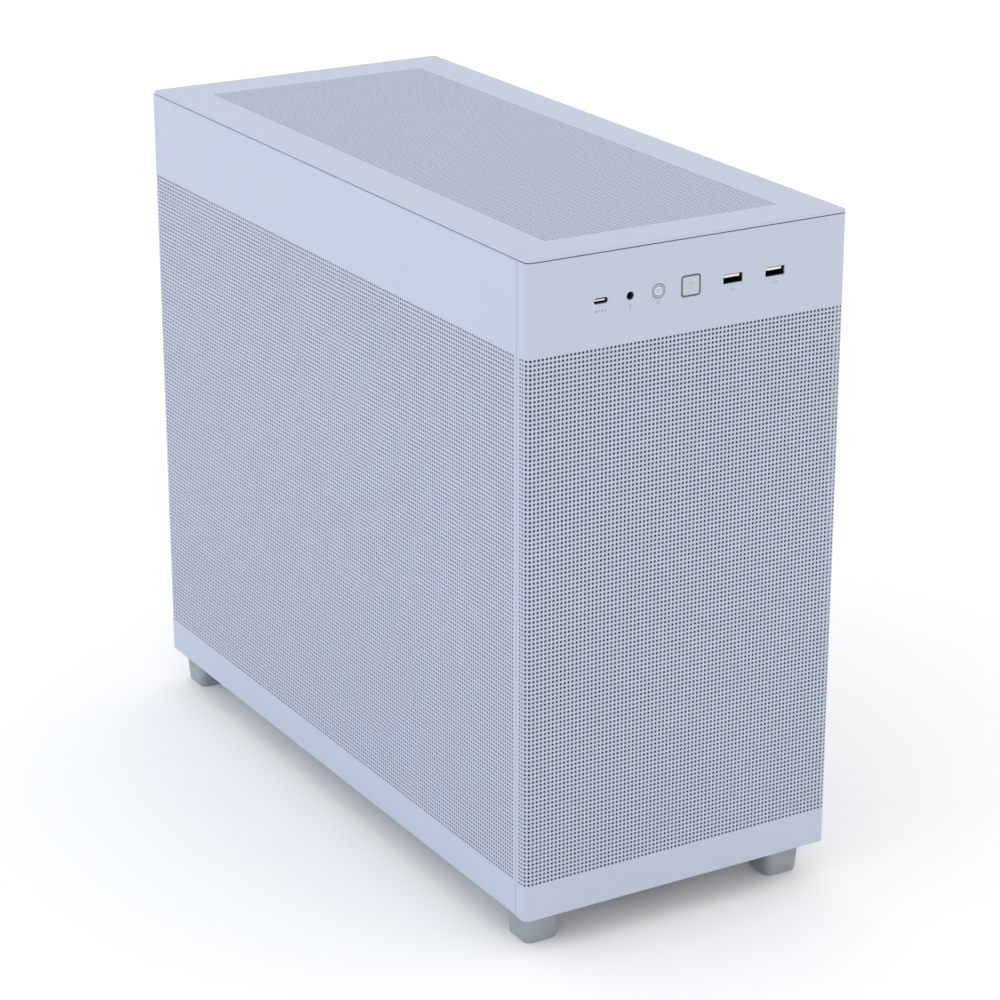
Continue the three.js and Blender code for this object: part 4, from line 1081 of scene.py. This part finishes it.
reset_mark = bmesh.new()
add_mark_ring(reset_mark, RESET_X, PORT_LEVEL, 1.75 * MM, 1.7 * MM)
make_piece("reset_mark", reset_mark, BODY_OF["reset_button"], button_cap)

tongues = bmesh.new()
level = PORT_LEVEL / MM
for x in USB_A_X:
    x = x / MM
    add_block(tongues, (x - 5.1, -228.4, level + 0.45), (x + 5.1, -216, level + 1.8), edge=0.12)
x = USB_C_X / MM
add_block(tongues, (x - 3.45, -228.3, level - 0.46), (x + 3.45, -220.5, level + 0.46), edge=0.1)
make_piece("port_tongues", tongues, BODY_OF["usb_a_port_1"], white_plastic)
print("printed the port marks, a power mark and a reset ring, and fitted", len(USB_A_X) + 1, "tongues")


# %% [markdown]
# ## Punched holes in CAD sheets
# The back needs a fan grille and vents, which the solids leave out. The rear sheet is copied from
# its solid, its loose triangles are welded, and a Boolean takes a set of punches out of it.

# %% The rear sheet
def welded_copy(node):
    """The mesh of a CAD node with its loose corners joined, as a bmesh."""
    shape = bmesh.new()
    shape.from_mesh(frame["nodes"][node].data)
    bmesh.ops.remove_doubles(shape, verts=shape.verts, dist=1e-6)
    return shape


def punch(piece, punches):
    """Takes the punches out of a piece for good."""
    mesh = bpy.data.meshes.new("punches")
    punches.to_mesh(mesh)
    punches.free()
    cutter = bpy.data.objects.new("punches", mesh)
    scene.collection.objects.link(cutter)
    cut = piece.modifiers.new("punch", "BOOLEAN")
    cut.object = cutter
    cut.solver = "EXACT"
    cut.use_self = False
    result = bpy.data.meshes.new_from_object(piece.evaluated_get(bpy.context.evaluated_depsgraph_get()))
    piece.modifiers.remove(cut)
    piece.data = result
    bpy.data.objects.remove(cutter)
    return piece


GRILLE_PITCH = 6.4
GRILLE_HOLE = 3.2
GRILLE_REACH = 54


def rear_punches():
    """Six-sided holes over the fan, four screw holes round it, and two columns of vents."""
    punches = bmesh.new()
    row_height = GRILLE_PITCH * math.sqrt(3) / 2
    for row in range(-10, 11):
        for column in range(-10, 11):
            x = (column + (row % 2) / 2) * GRILLE_PITCH
            z = row * row_height
            if math.hypot(x, z) < GRILLE_REACH:
                at = (FANS[0].x + x, FANS[0].z + z)
                add_bar(punches, GRILLE_HOLE, (at[0], 226, at[1]), (at[0], 233, at[1]), sides=6)
    for dx, dz in SCREW_CORNERS:
        at = (FANS[0].x + dx, FANS[0].z + dz)
        add_bar(punches, 2.4, (at[0], 226, at[1]), (at[0], 233, at[1]), sides=12)
    for row in range(9):
        for x in (-82, -72):
            z = 128 + 11 * row
            add_block(punches, (x - 1.6, 226, z - 4), (x + 1.6, 233, z + 4))
    return punches


rear_sheet = make_piece("rear_sheet", welded_copy("rear_panel"), "chassis", chassis_paint, ["rear_panel"])
punch(rear_sheet, rear_punches())
print("rear sheet has", len(rear_sheet.data.polygons), "faces")


# %% [markdown]
# ## Screws and pins
# Panels hold on with push pins, and boards and fans with pan-head screws. A screw head is a short
# cone whose top face is inset, drawn in to a four-pointed star and pushed down, which makes the
# cross recess. A thumb screw has a notched rim, which is every other corner of a disc drawn in.

# %% Screw heads, thumb screws and pins
def place_along(shape, made, at, direction):
    """Moves a shape drawn along +Z to a point in millimetres, turned to a direction."""
    turn = Vector((0, 0, 1)).rotation_difference(Vector(direction)).to_matrix().to_4x4()
    bmesh.ops.transform(shape, matrix=Matrix.Translation(Vector(at) * MM) @ turn, verts=made)


def add_screw(shape, at, direction, radius=3.2, height=1.6):
    """A pan head with a cross recess, standing on a point of a surface."""
    before = set(shape.verts)
    add_bar(shape, radius, (0, 0, 0), (0, 0, height), sides=16, end_radius=0.8 * radius)
    made = set(shape.verts) - before
    top = max({f for v in made for f in v.link_faces}, key=lambda f: f.calc_center_median().z)
    bmesh.ops.inset_region(shape, faces=[top], thickness=0.2 * radius * MM)
    for number, v in enumerate(around(top.verts)):
        if number % 4:
            v.co.xy *= 0.34
    sunk = bmesh.ops.extrude_discrete_faces(shape, faces=[top])["faces"][0]
    bmesh.ops.translate(shape, verts=sunk.verts, vec=(0, 0, -0.6 * height * MM))
    place_along(shape, list(set(shape.verts) - before), at, direction)


def add_thumb_screw(shape, at, direction, radius=4.5, height=8.0):
    """A tall head with a notched rim for the fingers."""
    before = set(shape.verts)
    neck, rim = 1.6, height - 0.8
    for low, high, sides, reach in ((0, neck, 32, 0.86), (neck, rim, 48, 1.0), (rim, height, 32, 0.72)):
        reach *= radius * MM
        made = bmesh.ops.create_cone(
            shape, cap_ends=True, segments=sides, radius1=reach, radius2=reach, depth=(high - low) * MM
        )["verts"]
        if sides == 48:
            for ring in (made[0::2], made[1::2]):
                for v in around(ring)[::2]:
                    v.co.xy *= 0.93
        bmesh.ops.translate(shape, verts=made, vec=(0, 0, (low + high) * MM / 2))
    place_along(shape, list(set(shape.verts) - before), at, direction)


def add_pin(shape, at, direction, length=6.0):
    """A push pin: a wide foot, a thin neck and a round nose."""
    at, direction = Vector(at), Vector(direction)
    add_bar(shape, 4.0, at, at + direction * 1.0, edge=0.2, sides=20)
    add_bar(shape, 1.5, at + direction * 0.5, at + direction * (length - 2.0), sides=14)
    add_bar(shape, 2.3, at + direction * (length - 3.4), at + direction * length, edge=0.9, sides=16)


SIDE_BODIES = (("left_panel", -1), ("right_panel", 1))
PIN_LEVELS = (33, 392)
for body, way in SIDE_BODIES:
    pins = bmesh.new()
    for y in (-208, 214):
        for z in PIN_LEVELS:
            add_pin(pins, (way * 101.4, y, z), (-way, 0, 0))
    make_piece(f"{body}_pins", pins, body, bare_steel)
pins = bmesh.new()
for x in (-86, 86):
    for z in PIN_LEVELS:
        add_pin(pins, (x, -228.9, z), (0, 1, 0), length=8.0)
make_piece("front_panel_pins", pins, "front_panel", bare_steel)

screws = bmesh.new()
for dx, dz in SCREW_CORNERS:
    add_screw(screws, (FANS[0].x + dx, 230, FANS[0].z + dz), (0, 1, 0), radius=4.0, height=1.4)
for x, z in ((-76.5, 34), (-43.5, 34), (-76.5, 82), (-43.5, 82)):
    add_screw(screws, (x, 230, z), (0, 1, 0), radius=2.6, height=1.1)
make_piece("rear_screws", screws, "chassis", fan_plastic)

thumbs = bmesh.new()
for number in (1, 2):
    low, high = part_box(f"thumb_screw_{number}")
    middle = (low + high) / 2 / MM
    add_thumb_screw(thumbs, (middle.x, 218.7, middle.z), (0, 1, 0), height=8.4)
make_piece("thumb_screws", thumbs, "chassis", bare_steel, ["thumb_screw_1", "thumb_screw_2"])
print("pins, screws and thumb screws are in")


# %% [markdown]
# ## Vented slot covers
# Each expansion cover is a folded strip with a row of short slots for air. The strip is the CAD
# solid, welded, with the slots taken out by the same Boolean punch as the rear sheet.

# %% Four slot covers
for number in range(1, 5):
    low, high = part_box(f"slot_cover_{number}")
    middle = (low.z + high.z) / 2 / MM
    slots = bmesh.new()
    for step in range(8):
        x = -38 + 12.4 * step
        for rise in (-2.6, 2.6):
            add_block(slots, (x, 224, middle + rise - 1.1), (x + 9, 234, middle + rise + 1.1))
    node = f"slot_cover_{number}"
    cover = make_piece(f"vented_cover_{number}", welded_copy(node), "chassis", chassis_paint, [node])
    punch(cover, slots)
print("each cover has", len(cover.data.polygons), "faces")


# %% [markdown]
# ## Rear connectors
# The row of connectors gets what the solids leave out: coloured tongues, three round jack
# collars, and a network socket with eight contacts and two lamps. A collar is a ring spun from a
# small block's outline, and the rest are blocks with broken edges.

# %% Tongues, jack collars and the network socket
REAR_MIDDLE = 60.4
port_blue = moulded_plastic("port_blue", (0.030, 0.120, 0.330), (0.022, 0.095, 0.270), 0.4)
jack_green = moulded_plastic("jack_green", (0.150, 0.420, 0.170), (0.120, 0.350, 0.140), 0.4)
jack_pink = moulded_plastic("jack_pink", (0.620, 0.210, 0.260), (0.540, 0.170, 0.215), 0.4)
contact_gold = streaked_metal("contact_gold", (0.82, 0.60, 0.26), (0.70, 0.50, 0.20), 0.3)

rear_tongues = bmesh.new()
for z, width in ((362, 13), (371, 13), (321, 15), (292, 13), (301, 13)):
    half = width / 2 - 0.94
    low = (REAR_MIDDLE - half, 217, z - 0.97)
    add_block(rear_tongues, low, (REAR_MIDDLE + half, 227.76, z + 0.97), edge=0.15)
make_piece("rear_tongues", rear_tongues, "chassis", port_blue)


def collar(z):
    """A round collar with a stepped rim, standing out of the shield round one jack."""
    ring = bmesh.new()
    wall = bmesh.ops.create_circle(ring, segments=6, radius=1.0 * MM)["verts"]
    for v in wall:
        v.co = (3.0 * MM + 0.9 * v.co.x, 229.4 * MM + 1.6 * v.co.y, 0)
    spin_ring(ring, wall, steps=28)
    bmesh.ops.translate(ring, verts=ring.verts, vec=(REAR_MIDDLE * MM, 0, z * MM))
    for face in ring.faces:
        face.smooth = True
    return ring


JACKS = (("jack_out", 254, jack_green), ("jack_in", 265, port_blue), ("jack_microphone", 276, jack_pink))
for name, z, finish in JACKS:
    make_piece(name, collar(z), "chassis", finish)

contacts = bmesh.new()
first = REAR_MIDDLE - 3.6
add_row(contacts, 8, (first - 0.22, 219, 346.6), (first + 0.22, 228, 348.4), (1.02, 0, 0))
make_piece("network_contacts", contacts, "chassis", contact_gold)

lamps = bmesh.new()
for x in (REAR_MIDDLE - 5.2, REAR_MIDDLE + 5.2):
    add_block(lamps, (x - 1.2, 227.2, 338.4), (x + 1.2, 228.9, 340.2), edge=0.2)
make_piece("network_lamps", lamps, "chassis", white_plastic)
print("rear connectors are fitted")


# %% [markdown]
# ## The cooler
# A tower cooler carries the processor's heat through four copper pipes into a stack of thin
# aluminium fins. The fins are pressed onto the pipes 2 mm apart, so they are separate plates with
# a toothed front edge. The pipes are nickel-plated, straight through the stack, and bend together
# into a small base. Tubes along a smooth path give the bends.

# %% Fins, pipes and base
FIN_PITCH = 2.2
FIN_THICK = 0.4
FIN_TEETH = 10
COOLER_X = (-76, 42)
COOLER_Y = (110, 158)
COOLER_Z = (245, 365)

fins = bmesh.new()
fin_count = int((COOLER_X[1] - COOLER_X[0]) / FIN_PITCH)
for number in range(fin_count):
    made = bmesh.ops.create_grid(fins, x_segments=1, y_segments=FIN_TEETH, size=0.5)["verts"]
    for v in made:
        row = round((v.co.y + 0.5) * FIN_TEETH)
        tooth = 3.5 if v.co.x < 0 and row % 2 else 0.0
        y = COOLER_Y[0] + tooth + (v.co.x + 0.5) * (COOLER_Y[1] - COOLER_Y[0] - tooth)
        z = COOLER_Z[0] + (v.co.y + 0.5) * (COOLER_Z[1] - COOLER_Z[0])
        v.co = Vector((COOLER_X[0] + number * FIN_PITCH, y, z)) * MM
face_towards(fins, (1, 0, 0))
bmesh.ops.solidify(fins, geom=fins.faces[:], thickness=FIN_THICK * MM)
make_piece("cooler_fins", fins, "chassis", bare_aluminium, ["cpu_cooler"])

pipes = bmesh.new()
for offset in (-42, -14, 14, 42):
    path = [
        (-78, 134, 305 + offset), (-30, 134, 305 + offset), (30, 134, 305 + offset),
        (44, 133.6, 305 + 0.97 * offset), (53, 131, 305 + 0.75 * offset),
        (57.6, 127, 305 + 0.45 * offset), (58, 118, 305 + 0.36 * offset), (58, 108, 305 + 0.35 * offset),
    ]
    tube = tube_mesh(path, 3.0, sides=16, steps=5)
    pipes.from_mesh(tube)
    bpy.data.meshes.remove(tube)
for face in pipes.faces:
    face.smooth = len(face.verts) == 4
make_piece("cooler_pipes", pipes, "chassis", bare_steel)

base = bmesh.new()
add_block(base, (60.5, 107, 286), (64.1, 144, 324), edge=0.5)
add_block(base, (54, 109, 288), (60.7, 142, 322), edge=1.0)
add_row(base, 5, (50.5, 110, 289), (54.4, 112, 321), (0, 6.4, 0), edge=0.3)
for side in (-1, 1):
    add_block(base, (58.5, 119, 305 + side * 17), (60.5, 131, 305 + side * 38), edge=0.3)
    add_screw(base, (58.5, 125, 305 + side * 33), (-1, 0, 0), radius=3.6, height=2.4)
make_piece("cooler_base", base, "chassis", bare_aluminium)
print("the cooler has", fin_count, "fins")


# %% [markdown]
# ## Memory, drive and board parts
# The memory sticks have pressed spreaders with ridges and a comb along the top. On the board
# stand finned blocks over the power stage, round capacitors, square coils and many small chips.
# The small parts are scattered with a seeded random order, as there are far too many to place.

# %% Memory and board parts
for number in (1, 2):
    low, high = (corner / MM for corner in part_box(f"memory_stick_{number}"))
    stick = bmesh.new()
    add_block(stick, (low.x + 3, low.y + 0.4, low.z), (high.x - 4, high.y - 0.4, high.z), edge=0.4)
    add_block(stick, (high.x - 5, low.y + 1.4, low.z + 2), (high.x, high.y - 1.4, high.z - 2))
    comb = Vector((low.x, low.y + 0.8, low.z + 6))
    add_row(stick, 11, comb, (low.x + 4, high.y - 0.8, comb.z + 7.6), (0, 0, 11.2), edge=0.3)
    for y in (low.y, high.y - 0.6):
        ridge = Vector((low.x + 7, y, low.z + 8))
        add_row(stick, 6, ridge, (ridge.x + 1.6, y + 0.6, high.z - 8), (3.4, 0, 0), edge=0.2)
    make_piece(f"memory_spreader_{number}", stick, "chassis", heat_spreader, [f"memory_stick_{number}"])

BOARD_FACE = 71.4
finned = bmesh.new()
add_row(finned, 5, (47.4, 177.6, 243), (49.8, 179.2, 361), (0, 3.2, 0), edge=0.3)
add_row(finned, 4, (51.4, 91, 366.8), (53.8, 159, 368.6), (0, 0, 3.4), edge=0.3)
add_row(finned, 9, (60.6, 22, 161), (62.6, 24.4, 197), (0, 4.4, 0), edge=0.3)
add_row(finned, 5, (65.2, 41, 211.3), (67.6, 119, 212.5), (0, 0, 2.2), edge=0.2)
make_piece("board_heat_sinks", finned, "chassis", heat_spreader)

coils = bmesh.new()
add_row(coils, 10, (65.4, 164, 246), (BOARD_FACE, 173, 255), (0, 0, 11.6), edge=0.6)
add_row(coils, 5, (65.4, 94, 352), (BOARD_FACE, 103, 361), (0, 12, 0), edge=0.6)
make_piece("board_coils", coils, "chassis", bezel_grey)

cans = bmesh.new()
CAN_PLACES = (
    (186, 228), (194, 228), (202, 228), (186, 152), (194, 152), (4, 330), (4, 342), (4, 354), (-6, 204),
    (70, 150), (82, 150),
)
for k in range(9):
    z = 250 + 12.4 * k
    add_bar(cans, 3.1, (BOARD_FACE, 157.5, z), (63.8, 157.5, z), edge=0.5, sides=18)
for y, z in CAN_PLACES:
    add_bar(cans, 2.8, (BOARD_FACE, y, z), (64.6, y, z), edge=0.5, sides=18)
make_piece("board_capacitors", cans, "chassis", bare_aluminium)

shuffle = random.Random(7)
chips = bmesh.new()
for k in range(110):
    y, z = shuffle.uniform(-12, 190), shuffle.uniform(146, 240)
    wide, tall = shuffle.choice(((1.2, 2.2), (2.2, 1.2), (4, 4), (3, 5), (1.6, 1.6), (7, 7)))
    add_block(chips, (BOARD_FACE - 0.9, y, z), (BOARD_FACE, y + wide, z + tall))
make_piece("board_chips", chips, "chassis", black_plastic)

screws = bmesh.new()
for y in (-7, 62, 219):
    for z in (147, 231, 378):
        add_screw(screws, (BOARD_FACE, y, z), (-1, 0, 0))
make_piece("board_screws", screws, "chassis", bare_steel)
print("board parts are in")


# %% [markdown]
# ## The power supply's guard and vents
# A wire guard of four rings on two crossed bars covers the supply's fan, and the far face has a
# field of six-sided holes. The rings are spun from a small circle, and each hole is a dark plug
# that stands a tenth of a millimetre proud: painted shade in place of the dark inside, since
# nothing behind the hole can be seen.

# %% Guard rings and vent field
GUARD_Y = -206.9
guard = bmesh.new()
for reach in (16, 28, 40, 52):
    section = bmesh.ops.create_circle(guard, segments=8, radius=0.8 * MM)["verts"]
    bmesh.ops.translate(guard, verts=section, vec=(reach * MM, 0, 0))
    spin_ring(guard, section, steps=48)
bmesh.ops.translate(guard, verts=guard.verts, vec=(0, GUARD_Y * MM, FANS[2].z * MM))
for face in guard.faces:
    face.smooth = True
for way in (-1, 1):
    ends = [(step * 42, GUARD_Y + 1.2, FANS[2].z + way * step * 42) for step in (-1, 1)]
    add_bar(guard, 0.8, *ends, sides=8)
    for end in ends:
        add_screw(guard, (end[0], -206, end[2]), (0, -1, 0), radius=3.0, height=1.3)
make_piece("supply_guard", guard, "chassis", bare_steel)

# Painted shade: each dark plug stands in for the shade seen through one vent hole.
vents = bmesh.new()
for row in range(13):
    for column in range(18):
        x = -60 + 7 * column + (row % 2) * 3.5
        z = 208 + 6.1 * row
        if x < 64:
            add_bar(vents, 2.9, (x, -120.2, z), (x, -119.9, z), sides=6)
make_piece("supply_vents", vents, "chassis", black_plastic)
print("guard and vents are in")


# %% [markdown]
# ## Leads
# A lead inside the case is a bunch of thin wires in a sleeve or side by side. Each follows the
# route of its solid. A curve carries the bunch: its profile is a second curve that holds one small
# circle for each wire, so all the wires bend together.

# %% Bunches of wires
def bunch_mesh(points, strand, places, steps=5, sides=6):
    """Several round wires side by side along a smooth path, in millimetres."""
    profile = bpy.data.curves.new("strands", "CURVE")
    profile.dimensions = "2D"
    for across, up in places:
        ring = profile.splines.new("POLY")
        ring.points.add(sides - 1)
        ring.use_cyclic_u = True
        for number, point in enumerate(ring.points):
            angle = -2 * math.pi * number / sides
            place = (across + strand * math.cos(angle), up + strand * math.sin(angle))
            point.co = (place[0] * MM, place[1] * MM, 0, 1)
    holder = bpy.data.objects.new("strands", profile)
    path = bpy.data.curves.new("path", "CURVE")
    path.dimensions = "3D"
    path.bevel_mode = "OBJECT"
    path.bevel_object = holder
    path.use_fill_caps = True
    spline = path.splines.new("BEZIER")
    spline.resolution_u = steps
    spline.bezier_points.add(len(points) - 1)
    for knot, point in zip(spline.bezier_points, points):
        knot.co = Vector(point) * MM
        knot.handle_left_type = knot.handle_right_type = "AUTO"
    maker = bpy.data.objects.new("path", path)
    for drawn in (maker, holder):
        scene.collection.objects.link(drawn)
    mesh = bpy.data.meshes.new_from_object(maker.evaluated_get(bpy.context.evaluated_depsgraph_get()))
    for spare in (maker, holder):
        bpy.data.objects.remove(spare)
    for spare in (path, profile):
        bpy.data.curves.remove(spare)
    return mesh


def round_bunch(count, reach):
    """Places for one wire in the middle and the others round it."""
    angles = [2 * math.pi * k / count for k in range(count)]
    return [(0, 0), *((reach * math.cos(angle), reach * math.sin(angle)) for angle in angles)]


SUPPLY_TOP = 320.3
PLUG_Y = -9.5
Lead = namedtuple("Lead", "name strand places points")
LEADS = (
    Lead("atx_cable", 1.75, round_bunch(6, 3.6), (
        (44, -150, SUPPLY_TOP), (44, -150, 332), (42, -140, 346), (36, -112, 350), (30, -70, 330),
        (28, -34, 303), (31, -14, 290), (38, PLUG_Y, 288), (47.1, PLUG_Y, 288))),
    Lead("cpu_power_cable", 1.3, ((-1.4, -1.4), (1.4, -1.4), (1.4, 1.4), (-1.4, 1.4)), (
        (62, -150, SUPPLY_TOP), (62, -150, 334), (66, -138, 350), (78, -100, 360), (87, -60, 362),
        (87, 20, 364), (87, 110, 372), (86, 155, 387), (80, 173, 393), (68, 177, 393), (61, 176, 388),
        (61, 176, 376.3))),
    Lead("rear_fan_lead", 0.57, ((-1.2, 0), (0, 0), (1.2, 0)), (
        (-11.5, 215.7, 254.7), (-11.5, 215.7, 251), (-7.5, 211.7, 244), (8, 196, 236), (30, 182, 228),
        (52, 178, 224), (62, 178, 224), (70.4, 178, 224))),
    Lead("cpu_fan_lead", 0.57, ((-1.2, 0), (0, 0), (1.2, 0)), (
        (43.3, 96.7, 335), (52, 95.7, 337), (58, 84, 345), (60, 77, 358), (65, 76, 361), (70.4, 76, 361))),
)
for lead in LEADS:
    mesh = bunch_mesh(lead.points, lead.strand, lead.places)
    wires = bmesh.new()
    wires.from_mesh(mesh)
    bpy.data.meshes.remove(mesh)
    bmesh.ops.remove_doubles(wires, verts=wires.verts, dist=1e-7)
    bmesh.ops.recalc_face_normals(wires, faces=wires.faces)
    for face in wires.faces:
        face.smooth = len(face.verts) == 4
    make_piece(f"{lead.name}_wires", wires, "chassis", cable_sleeve, [lead.name])
print("leads:", [lead.name for lead in LEADS])
